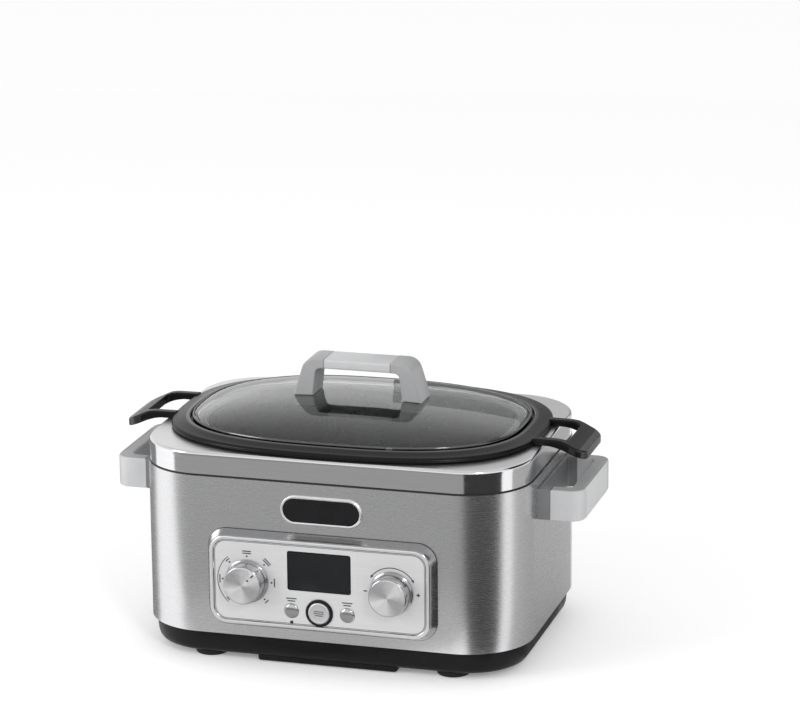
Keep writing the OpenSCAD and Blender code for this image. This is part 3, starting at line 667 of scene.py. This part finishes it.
def build_window():
    rings = [upright(box_ring(32.9 - d, 20.4 - d, max(2.4 - d, 0.5), 0, 6, 3), FASCIA_Y + back, WINDOW_Z)
             for d, back in ((0.3, 2), (0, 1.8), (0, 0.3), (0.1, 0.08), (0.35, 0), (0.9, 0))]
    face = upright(box_ring(31.9, 19.4, 1.6, 0, 6, 3), FASCIA_Y + 0.05, WINDOW_Z)
    whole = [list(range(len(face)))]
    shape = Shape().add(loft(rings + [face], caps=False)).add((rings[0], whole)).add((face, whole), 1)
    piece("display_panel", shape, "base", "window_plastic", ["window_edge", "window"], ["display_window"])


def build_badge():
    def ring(d, out):
        return upright(box_ring(42 - d, 14.5 - d, 14.499 - d, 0, 24, 4), FRONT_Y - out, BADGE_Z)

    rim = [ring(d, out) for d, out in
           ((0, 0), (0, 1.4), (0.25, 1.9), (0.7, 2.2), (1.7, 2.2), (2.1, 2.05), (2.3, 1.75))]
    field = [ring(2.3, 1.75), ring(2.8, 1.8), ring(6, 1.85)]
    whole = [list(range(len(rim[0])))]
    shape = Shape().add(loft(rim, caps=False)).add((rim[0], whole))
    shape.add(loft(field, caps=False), 1).add((field[-1], whole), 1)
    piece("badge_blank", shape, "base", "badge_enamel", ["badge_rim", "enamel"], ["badge_plate"])


def cap_height(r):
    """The spun face is a very flat cone."""
    return 13.7 - 0.054 * r


def build_dial(name, x, body):
    skirt = [(3.1, 0), (22.2, 0), (22.5, 0.4), (22.5, 2.0), (22.3, 2.6), (21.8, 2.9), (21.5, 3.1),
             (21.3, 3.6), (21.0, 3.9), (20.6, 4), (3.1, 4)]
    piece(f"{name}_dial_skirt", turned_ring(skirt, (x, SKIRT_Y, DIAL_Z)), body, "dial_skirt_metal", "skirt",
          [f"{name}_skirt"])
    cap = [(3.05, 0), (19.7, 0), (20, 0.3), (20, 1.4), (19.85, 1.8), (19.8, 6), (19.7, 10.9), (19.55, 11.8),
           (19.1, 12.4), (18.5, 12.65)]
    cap += [(r, cap_height(r)) for r in (18, 12, 6, 1.2)] + [(0, 13.65), (0, 7), (3.05, 7)]
    # Faces that look forward take the spun face colour; the rest take the darker side colour, a painted
    # reflection.
    piece(f"{name}_dial_cap", turned_ring(cap, (x, CAP_Y, DIAL_Z), segs=128), body, "dial_metal",
          ["dial_face", "dial_side"], [f"{name}_cap"], paint=lambda f: 0 if f.normal.y < -0.97 else 1)


def build_pointer():
    ux, uz = math.sin(math.radians(45)), math.cos(math.radians(45))
    thick, dot = 0.24, 8.4

    def at(u, v, h):
        return (-DIAL_X + ux * v + uz * u, CAP_Y + 0.05 - cap_height(v) - h, DIAL_Z + uz * v - ux * u)

    shape = Shape().add(soft_extrude(rectangle(-0.75, 13, 0.75, 17, 0.7), 0, thick, 0.08, at, 2, 4))
    shape.add(turned([(0, 0), (1.1, 0), (1.1, 0.16), (1.0, thick), (0, thick)],
                     (-DIAL_X + ux * dot, CAP_Y + 0.08 - cap_height(dot), DIAL_Z + uz * dot), "y", 24))
    piece("selector_pointer", shape, "selector_dial", "dial_metal", "print")


def build_buttons():
    small = [(0, -7.35), (2, -7.35), (2, -3.1), (8.8, -3.1), (8.8, -2.1), (7.4, -2.1), (7.4, 0.0)]
    small += [(7.4 * c, 2.0 * s) for s, c in quarter(10, 1)]
    for side, x, use in (("left", -KEY_X, "keep_warm"), ("right", KEY_X, "set")):
        piece(f"{side}_key_cap", turned(small, (x, FASCIA_Y, KEY_Z), "y", 64), f"{use}_key", "button_metal",
              "button", [f"{use}_button"])
    start = [(0, -7.35), (2, -7.35), (2, -3.1), (12.4, -3.1), (12.4, -2.1), (11, -2.1), (11, 1.8),
             (10.8, 2.3), (10.3, 2.55), (9.7, 2.6), (9.2, 2.5), (6, 2.35), (0, 2.3)]
    piece("start_key_cap", turned(start, (0, FASCIA_Y, KEY_Z), "y", 96), "start_key", "button_metal",
          "start", ["start_button"])
    marks = Shape()
    for rise, w in ((2.1, 9.5), (0, 10.5), (-2.1, 8)):
        bar(marks, 0, KEY_Z + rise, w, 0.8, at=FASCIA_Y - 2.36)
    piece("start_key_marks", marks, "start_key", "button_metal", "print")
    ring = [(11.35, 0), (11.35, 0.9), (11.6, 1.3), (12.1, 1.5), (13.3, 1.5), (13.9, 1.25), (14.2, 0.7),
            (14.2, 0)]
    piece("start_key_ring", turned_ring(ring, (0, FASCIA_Y, KEY_Z)), "base", "button_ring_plastic", "ring",
          ["start_button_ring"])
    lens = [(0, -2), (1.8, -2), (1.8, 0.1), (1.5, 0.3), (0.9, 0.4), (0, 0.4)]
    piece("indicator_dome", turned(lens, (-KEY_X, FASCIA_Y, KEY_Z - 12), "y", 32), "base", "lens_plastic",
          "lens", ["indicator_lens"])


# ---------------- base: printing on the panel

def stamp(shape, outline, at=FASCIA_Y):
    shape.add(loft([[(x, at - h, z) for x, z in outline] for h in (0, PRINT_T)]))


def placed(points, x, z, turn):
    """Turns flat points anticlockwise by an angle in radians and moves them to x, z."""
    c, s = math.cos(turn), math.sin(turn)
    return [(x + c * u - s * v, z + s * u + c * v) for u, v in points]


def bar(shape, x, z, w, t, turn=0.0, at=FASCIA_Y):
    corners = [(u, v) for u, v, _ in rectangle(-w / 2, -t / 2, w / 2, t / 2, 0)]
    stamp(shape, placed(corners, x, z, math.radians(turn)), at)


def arc_band(shape, x, r, t, start, end):
    """start and end in degrees clockwise from the top, as seen from the front."""
    steps = 40
    stamp(shape, arc(x, DIAL_Z, r + t / 2, 90 - start, 90 - end, steps)
          + arc(x, DIAL_Z, r - t / 2, 90 - end, 90 - start, steps))


def arrow_head(shape, x, r, at, sign):
    size = 2.4
    t = math.radians(90 - at)
    points = ((size, 0), (-size * 0.4, size * 0.62), (-size * 0.4, -size * 0.62))
    stamp(shape, placed(points, x + r * math.cos(t), DIAL_Z + r * math.sin(t), t + sign * math.pi / 2))


def build_prints():
    # Painted shade: a dark printed line round the fascia's border, just inside the bezel, stands in for the
    # shade where the fascia meets the bezel.
    line = [upright(box_ring(109 - d, 41 - d, 12.5 - d, 0, 16, 4), FASCIA_Y - h, PANEL_Z)
            for d, h in ((0.15, 0), (0.15, PRINT_T), (0.6, PRINT_T), (0.6, 0))]
    shape = Shape().add(loft(line, closed=True))
    stops = ((-135, 1, 4), (-90, 1, 9), (-45, 1, 5), (0, 2, 9), (45, 2, 9), (90, 1, 9), (135, 1, 5))
    for at, rows, width in stops:
        t = math.radians(90 - at)
        dot = (-DIAL_X + 25.6 * math.cos(t), FASCIA_Y, DIAL_Z + 25.6 * math.sin(t))
        shape.add(turned([(0, 0), (0.95, 0), (0.95, PRINT_T), (0, PRINT_T)], dot, "y", 20))
        for row in range(rows):
            reach = 28.6 + 2.2 * row
            bar(shape, -DIAL_X + reach * math.cos(t), DIAL_Z + reach * math.sin(t), width, 1.1, -at)
    arc_band(shape, -DIAL_X, 30.9, 0.7, -140, -40)
    scale, minus_end, plus_end = 26, -52, 57
    arc_band(shape, DIAL_X, scale, 0.9, minus_end, plus_end)
    arrow_head(shape, DIAL_X, scale, minus_end, 1)
    arrow_head(shape, DIAL_X, scale, plus_end, -1)
    sign_x, long, thick = 27.2, 3.8, 1.2
    for x, w, t in ((-sign_x, long, thick), (sign_x, long, thick), (sign_x, thick, long)):
        bar(shape, DIAL_X + x, DIAL_Z, w, t)
    for x in (-KEY_X, KEY_X):
        for z, w in ((77.4, 11), (74.8, 8)):
            bar(shape, x, z, w, 1.1)
    piece("panel_markings", shape, "base", "fascia_metal", "print")


# ---------------- base handles

def build_grips():
    half, hole, groove = 64, 51, 46  # half lengths of the loop, its opening and the inlay's groove
    seam, bed = 0.15, GRIP_OUT - 2
    face, root, bar_in = GRIP_IN - seam, GRIP_IN + seam, GRIP_OUT - 14
    bracket = [(HALF_W, -half, 0), (face, -half, 0), (face, -hole, 0), (HALF_W + 3, -hole, 2.5),
               (HALF_W + 3, hole, 2.5), (face, hole, 0), (face, half, 0), (HALF_W, half, 0)]
    grip = [(root, -half, 0), (GRIP_OUT, -half, 14), (GRIP_OUT, -groove, 0), (bed, -groove, 0),
            (bed, groove, 0), (GRIP_OUT, groove, 0), (GRIP_OUT, half, 14), (root, half, 0), (root, hole, 0),
            (bar_in, hole, 6), (bar_in, -hole, 6), (root, -hole, 0)]
    low, high = 0.2 - groove, groove - 0.2
    inlay = [(bed + 0.1, low, 0), (GRIP_OUT, low, 0.9), (GRIP_OUT, high, 0.9), (bed + 0.1, high, 0)]
    for side, where in (("left", mirror_left), ("right", flat_up)):
        for name, outline, gap, edge, steps, slot, material in (
                ("bracket", bracket, 0, 1.2, (4, 8), "handle_bracket_plastic", "bracket"),
                ("grip", grip, 0, 1.7, (5, 10), "handle_grey_plastic", "grip"),
                ("inlay", inlay, 0.2, 0.5, (3, 8), "handle_light_plastic", "side_grip")):
            part = soft_extrude(outline, GRIP_LOW + gap, GRIP_TOP - gap, edge, where, *steps)
            piece(f"{side}_{name}", part, "base", slot, material, [f"{side}_handle_{name}"])


# ---------------- pot

def along(points, x):
    """Reads the height at x off a line of (x, height) points."""
    for (x0, z0), (x1, z1) in zip(points, points[1:]):
        if x <= x1:
            return z0 + (z1 - z0) * max(x - x0, 0) / (x1 - x0)
    return points[-1][1]


def pot_handle(where):
    """A loop that runs out level from the flange and then cranks down."""
    top = [(187, 226.3), (212, 226.0), (218, 225.2), (223, 223.4), (230, 219.8), (243, 214.0)]
    low = [(187, 219.1), (205, 219.1), (212, 217.8), (218, 215.8), (222, 214.2), (230, 210.6), (243, 205.6)]
    outline = [(188, -40, 0), (243, -40, 13), (243, 40, 13), (188, 40, 0), (188, 30.5, 0), (222, 30.5, 6),
               (222, -30.5, 6), (188, -30.5, 0)]
    thick = 8
    verts, faces = soft_extrude(outline, 0, thick, 1.6, where, 5, 10)
    bm = bmesh.new()
    made = [bm.verts.new(v) for v in verts]
    for f in faces:
        bm.faces.new([made[i] for i in f])
    for x in range(190, 243, 2):
        for sx in (-1, 1):
            bmesh.ops.bisect_plane(bm, geom=bm.verts[:] + bm.edges[:] + bm.faces[:], dist=1e-5,
                                   plane_co=(sx * x, 0, 0), plane_no=(1, 0, 0))
    bmesh.ops.triangulate(bm, faces=[f for f in bm.faces if len(f.verts) > 4])
    for v in bm.verts:
        under = along(low, abs(v.co.x))
        v.co.z = under + (along(top, abs(v.co.x)) - under) * v.co.z / thick
    bm.verts.index_update()
    part = [tuple(v.co) for v in bm.verts], [[v.index for v in f.verts] for f in bm.faces]
    bm.free()
    return part


def build_pot():
    neck, seat, inner_low = 216.9, 223, 118
    rings = []

    def wall(a, z):
        rings.append(oval(a, a - 44.5, z, 256))

    def flange(a, z):
        rings.append(oval(a, a - 51.5, z, 256))

    for s, c in quarter(10):
        wall(128.5 + 25 * s, POT_LOW + 25 - 25 * c)
    for t in (0.25, 0.5, 0.75, 1):
        wall(153.5 + 5 * t, POT_LOW + 25 + (neck - POT_LOW - 25) * t)
    for s, c in quarter(4, 1):
        wall(158.5 + 2 * (1 - c), neck + 2 * s)
    edge, high = 3.6, 3.1
    for k in range(13):
        t = math.radians(-90 + 180 * k / 12)
        flange(FLANGE_A - edge + edge * math.cos(t), FLANGE_Z + high + high * math.sin(t))
    for d, z in ((7.5, 2.15), (11, 1.0), (14, 0.35), (16, 0.05)):
        flange(FLANGE_A - d, POT_TOP - z)
    for s, c in quarter(5):
        flange(174 + 1.6 * (1 - s), POT_TOP - 1.6 * (1 - c))
    for a, z in ((174, 0.8), (173.7, 0.2), (173, 0)):
        flange(a, seat + z)
    for s, c in quarter(6):
        wall(155.5 + 3.5 * (1 - s), seat - 3.5 * (1 - c))
    for t in (0.25, 0.5, 0.75, 1):
        wall(155.5 - 5 * t, seat - 3.5 - (seat - 3.5 - inner_low) * t)
    for s, c in quarter(8, 1):
        wall(134.5 + 16 * c, inner_low - 16 * s)
    shape = Shape().add(loft(rings))
    for where in (flat_up, mirror_left):
        shape.add(pot_handle(where))

    def paint(f):
        x, y, z = in_mm(f.calc_center_median())
        if z < 217:
            return 1 if f.normal.x * x + f.normal.y * y > 0 or f.normal.z < -0.5 else 0
        # painted highlight: the ridge and the step take the lighter, glossier edge coating.
        on_ridge = z > 226 and oval_share(x, y, 177.5, 126) < 1
        on_step = z > 219.6 and oval_share(x, y, 159.5, 115) < 1
        return 2 if on_ridge or on_step else 0

    piece("pot_casting", shape, "pot", "pot_coating", ["pot", "pot_wall", "pot_edge"], ["cooking_pot"],
          paint=paint)


# ---------------- rack

def basket_point(u, v):
    """Lays a flat sheet of mesh into the basket: level inside, then up a leaning wall to the rim."""
    bend, lean = 4.0, math.radians(74)
    base = RACK_RIM - RACK_DEPTH
    share = oval_share(u, v, RACK_A - 6, RACK_B - 6)
    if share <= 1:
        return (u, v, base)
    reach = math.hypot(u, v)
    over = reach - reach / share
    turn = min(over / bend, lean)
    rest = max(over - bend * turn, 0)
    out = bend * math.sin(turn) + rest * math.cos(turn)
    up = bend * (1 - math.cos(turn)) + rest * math.sin(turn)
    scale = (reach / share + out * 0.55) / reach
    return (u * scale, v * scale, base + up) if up < RACK_DEPTH else None


def mesh_wires(family, k):
    """The stretches of one diagonal wire that lie in the basket, waving over and under the others."""
    steps, step, diagonal = 152, 1.25, math.sqrt(0.5)
    offset = k * MESH_PITCH
    runs = [[]]
    for i in range(-steps, steps + 1):
        s = i * step
        point = basket_point(diagonal * (s - family * offset), diagonal * (family * s + offset))
        if point:
            wave = MESH_R * 0.9 * math.cos(math.pi * (s / MESH_PITCH + k)) * family
            runs[-1].append((point[0], point[1], point[2] + wave))
        elif runs[-1]:
            runs.append([])
    return [run for run in runs if len(run) > 3]


def build_rack():
    shape = Shape()
    for family in (-1, 1):
        for k in range(-46, 47):
            for run in mesh_wires(family, k):
                shape.add(tube(run, MESH_R, 5))
    piece("rack_mesh", shape, "rack", "rack_steel", "wire", ["rack_basket"], sharp=180)
    rim = Shape().add(tube(oval(RACK_A + 0.5, RACK_B + 0.5, RACK_RIM + 0.5), 1.5, 12, closed=True))
    rim.add(tube(oval(RACK_A - 1.7, RACK_B - 1.7, RACK_RIM - 1.6), 0.6, 8, closed=True))
    piece("rack_rim", rim, "rack", "rack_steel", "wire", ["rack_rim_wire"], sharp=180)
    half, lean, height = 62.0, 18.0, 46.0
    long = math.hypot(lean, height)
    outline = fillet([(half, 0, 6), (-half, 0, 6), (-half, -long, 5), (-half + 13, -long, 4),
                      (-half + 18, -long + 6, 3), (half - 18, -long + 6, 3), (half - 13, -long, 4),
                      (half, -long, 5)], 7)
    dense = []
    for (x0, v0), (x1, v1) in zip(outline, outline[1:] + outline[:1]):
        count = max(1, int(math.hypot(x1 - x0, v1 - v0) / 4))
        dense += [(x0 + (x1 - x0) * j / count, v0 + (v1 - v0) * j / count) for j in range(count)]
    for end, sy in (("front", -1), ("back", 1)):
        path = [(x, sy * (98 + lean / long * v), RACK_RIM + height / long * v) for x, v in dense]
        piece(f"rack_{end}_frame", tube(path, 1.7, 12, closed=True), "rack", "rack_steel", "wire",
              [f"rack_leg_{end}"], sharp=180)


# ---------------- lid

def dome_rise(share):
    return 20.0 * (1 - share ** 2.4) ** 0.75


def build_glass():
    shares = [1, 0.9985, 0.995, 0.99, 0.98, 0.965, 0.945, 0.92, 0.89, 0.85, 0.8, 0.74, 0.67, 0.6, 0.52, 0.44,
              0.36, 0.28, 0.2, 0.12, 0.05]
    thick, edge = 4, 0.6

    def rings(a, b, foot, z):
        """foot widens the lowest ring, and z is the height of the dome's edge."""
        low = [oval(a + foot, b + foot, LID_Z + 0.5), oval(a, b, LID_Z + 1.1)]
        return low + [oval(a * s, b * s, z + dome_rise(s)) for s in shares]

    outer = rings(GLASS_A, GLASS_B, -edge, DOME_Z)
    outer.insert(2, oval(GLASS_A, GLASS_B, DOME_Z - 1))
    inner = rings(GLASS_A - thick, GLASS_B - thick, edge, DOME_Z - thick)
    inner.insert(2, oval(GLASS_A - thick, GLASS_B - thick, DOME_Z - thick - 0.2))
    piece("glass_dome", loft(inner[::-1] + outer), "lid", "lid_glass_clear", "glass", ["lid_glass"],
          sharp=60)


def build_band():
    profile = [(1.9, 0.3), (1.6, 0.05), (1.1, 0), (0.5, 0.15), (0.12, 0.6), (0, 1.2), (0, 5.6), (0.15, 6.3),
               (0.6, 6.8), (1.2, 7), (1.7, 6.8), (2.0, 6.2)]
    rings = [oval(BAND_A - d, BAND_B - d, LID_Z + h, 256) for d, h in profile]
    piece("lid_band", loft(rings, closed=True), "lid", "lid_band_steel", "band", ["lid_rim_band"])
    x = 62.0
    seam = [(x - 4.2, 0.9, 0), (x + 1.4, 0.9, 0), (x + 4.2, 6.1, 0), (x - 1.4, 6.1, 0)]

    def where(u, v, h):
        return (u, -(BAND_B + 0.05 + h) * (1 - (u / (BAND_A + 0.05)) ** OVAL) ** (1 / OVAL), LID_Z + v)

    piece("lid_band_seam", soft_extrude(seam, -0.3, 0.12, 0.08, where, 2), "lid", "lid_band_steel", "clamp")


def build_lid_handle():
    low, half_y, joint = 247.6, 18, 35.15
    post = [(joint, BAR_LOW, 0), (44.0, BAR_LOW, 6), (47.2, low, 0), (67.6, low, 0), (55.6, BAR_TOP, 14),
            (joint, BAR_TOP, 0)]

    def to_dome(bm):
        for v in bm.verts:
            x, y, z = in_mm(v.co)
            if z < low + 1.4:
                dome = DOME_Z + dome_rise(min(oval_share(x, y, GLASS_A, GLASS_B), 1))
                v.co.z = (dome + 0.05 + max(z - low, 0) * 0.4) * MM

    for side, sx in (("left", -1), ("right", 1)):
        part = soft_extrude(post, -half_y, half_y, 1.3, lambda u, v, h: (sx * u, h, v), 4, 10)
        piece(f"lid_{side}_upright", part, "lid", "handle_grey_plastic", "lid_grip", [f"lid_{side}_post"],
              edit=to_dome)
    section = rectangle(-half_y, BAR_LOW, half_y, BAR_TOP, 2.2)
    part = soft_extrude(section, 0.3 - joint, joint - 0.3, 0.5, lambda u, v, h: (h, u, v), 3)
    piece("lid_grip_bar", part, "lid", "handle_light_plastic", "light_grip", ["lid_handle_bar"])


# ---------------- CAD nodes that keep their own shape

KEPT_NODES = {
    "housing": ["outer_housing"], "gasket": ["cover_gasket"], "fascia": ["panel_fascia"],
    "screw": ["tray_screws", "handle_screws", "lid_screws", "selector_shaft", "adjust_shaft"],
    "clamp": ["lid_clamps", "temperature_sensor"], "tray": ["cord_gland"],
    "heat_band": ["wall_heater_band"], "blanket": ["insulation_blanket"], "shield": ["heat_shield"],
    "ceramic": ["thermal_cutout"], "board": ["power_board", "control_board"],
    "component": ["tact_switches", "display_module", "selector_switch", "adjust_encoder"],
}


def paint_nodes():
    for key, nodes in KEPT_NODES.items():
        for node in nodes:
            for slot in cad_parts[node].material_slots:
                slot.material = MATERIALS[key]


# ---------------- stage: floor, sky, lights, cards, camera

FLOOR_GLOW, SKY_LOW, SKY_HIGH = 0.22, 1.0, 0.72


def emitter(name, at, aim, size, power):
    data = bpy.data.lights.new(name, "AREA")
    data.shape = "RECTANGLE"
    data.size, data.size_y = size
    data.energy = power
    obj = add_object(name, data)
    obj.location = at
    obj.rotation_euler = (Vector(aim) - Vector(at)).to_track_quat("-Z", "Y").to_euler()


def stage_sheet(name, verts, mat):
    mesh = bpy.data.meshes.new(name)
    mesh.from_pydata(verts, [], [tuple(range(len(verts)))])
    mesh.materials.append(mat)
    obj = add_object(name, mesh)
    return obj


def card(name, verts, shade):
    """A card that only shows in glossy reflections, as in a photo studio."""
    mat, tree, shader = new_material(name)
    tree.links.new(map_range(tree, noise(tree, 3.0, 1.0), 0.95, 1.0), shader.inputs["Roughness"])
    set_inputs(shader, {"Base Color": (shade, shade, shade, 1), "Specular IOR Level": 0})
    obj = stage_sheet(name, verts, mat)
    obj.visible_camera = False
    obj.visible_diffuse = False
    obj.visible_shadow = False
    obj.visible_transmission = False


def floor_card(name, centre_x, start, end, near, far, shade, z=0.003):
    """A card on the floor between two bearings, in degrees from the front towards the viewer's right."""
    centre_y, steps = -0.13, 8
    bearings = [math.radians(start + (end - start) * i / steps) for i in range(steps + 1)]
    edges = [(far, t) for t in bearings] + [(near, t) for t in reversed(bearings)]
    card(name, [(centre_x + r * math.sin(t), centre_y - r * math.cos(t), z) for r, t in edges], shade)


def build_floor():
    mat, tree, shader = new_material("pale_floor")
    tree.links.new(map_range(tree, noise(tree, 0.8, 2.0), 0.72, 0.8), shader.inputs["Roughness"])
    set_inputs(shader, {"Base Color": (0.93, 0.93, 0.93, 1), "Specular IOR Level": 0.1,
                        "Emission Color": (1, 1, 1, 1), "Emission Strength": FLOOR_GLOW})
    w = 30
    floor = stage_sheet("floor", [(-w, -w, 0), (w, -w, 0), (w, w, 0), (-w, w, 0)], mat)
    floor.location.z = cad_box[0][2] - 0.0002


def build_sky():
    world = bpy.data.worlds.new("studio")
    bpy.context.scene.world = world
    world.use_nodes = True
    tree = world.node_tree
    coords, split, ramp = (add_node(tree, kind) for kind in ("TexCoord", "SeparateXYZ", "ValToRGB"))
    for element, place, grey in zip(ramp.color_ramp.elements, (0.12, 0.75), (SKY_LOW, SKY_HIGH)):
        element.position = place
        element.color = (grey, grey, grey, 1)
    tree.links.new(coords.outputs["Generated"], split.inputs[0])
    tree.links.new(split.outputs["Z"], ramp.inputs[0])
    tree.links.new(ramp.outputs[0], tree.nodes["Background"].inputs["Color"])
    tree.nodes["Background"].inputs["Strength"].default_value = 1.0


def build_stage():
    build_floor()
    build_sky()
    emitter("left_softbox", (-2.4, -2.0, 1.2), (0, 0, 0.2), (1.2, 1.6), 30)
    emitter("right_softbox", (1.7, -2.5, 1.9), (0, -0.1, 0.15), (0.5, 0.7), 22)
    floor_card("front_card_near", 0, -72, 50, 0.02, 0.26, 0.52, 0.002)
    floor_card("front_card_far", 0, -64, 44, 0.26, 2.6, 0.34, 0.002)
    floor_card("front_card_outer", 0, -52, 44, 0.98, 1.6, 0.22, 0.0025)
    floor_card("back_left_card", -0.16, -200, -110, 0.10, 3.0, 0.26)
    floor_card("right_dark_card", 0.16, 5, 76, 0.05, 3.0, 0.04)
    floor_card("right_grey_card", 0.16, 98, 170, 0.08, 3.0, 0.50)
    card("high_right_card", [(2.0, 0.0, 0.6), (0.8, 1.6, 0.6), (0.7, 1.4, 2.0), (1.7, 0.0, 2.0)], 0.03)
    card("back_card", [(-0.58, 2.2, 0.1), (0.9, 2.2, 0.1), (0.9, 2.2, 1.1), (-0.58, 2.2, 1.1)], 0.30)


def build_camera():
    """Looks at the front from the viewer's right and a little above."""
    eye = Vector((1.0188, -3.3623 + MIDDLE_Y * MM, 1.2458))
    yaw, pitch, roll = (math.radians(a) for a in (16.2237, 15.2457, -0.4834))
    forward = Vector((-math.sin(yaw) * math.cos(pitch), math.cos(yaw) * math.cos(pitch), -math.sin(pitch)))
    right = forward.cross(Vector((0, 0, 1))).normalized()
    up = right.cross(forward)
    right, up = right * math.cos(roll) + up * math.sin(roll), up * math.cos(roll) - right * math.sin(roll)
    data = bpy.data.cameras.new("camera")
    data.sensor_width = 36
    data.lens = 161.23
    data.clip_end = 100
    camera = add_object("camera", data)
    matrix = Matrix((right, up, -forward)).transposed().to_4x4()
    matrix.translation = eye
    camera.matrix_world = matrix
    bpy.context.scene.camera = camera
    bpy.context.scene.view_settings.view_transform = "Standard"


build_camera()
build_tray()
build_feet()
build_cover()
build_trim()
build_well()
build_bezel()
build_window()
build_badge()
build_dial("selector", -DIAL_X, "selector_dial")
build_dial("adjust", DIAL_X, "adjust_dial")
build_pointer()
build_buttons()
build_prints()
build_grips()
build_pot()
build_rack()
build_glass()
build_band()
build_lid_handle()
paint_nodes()
build_stage()
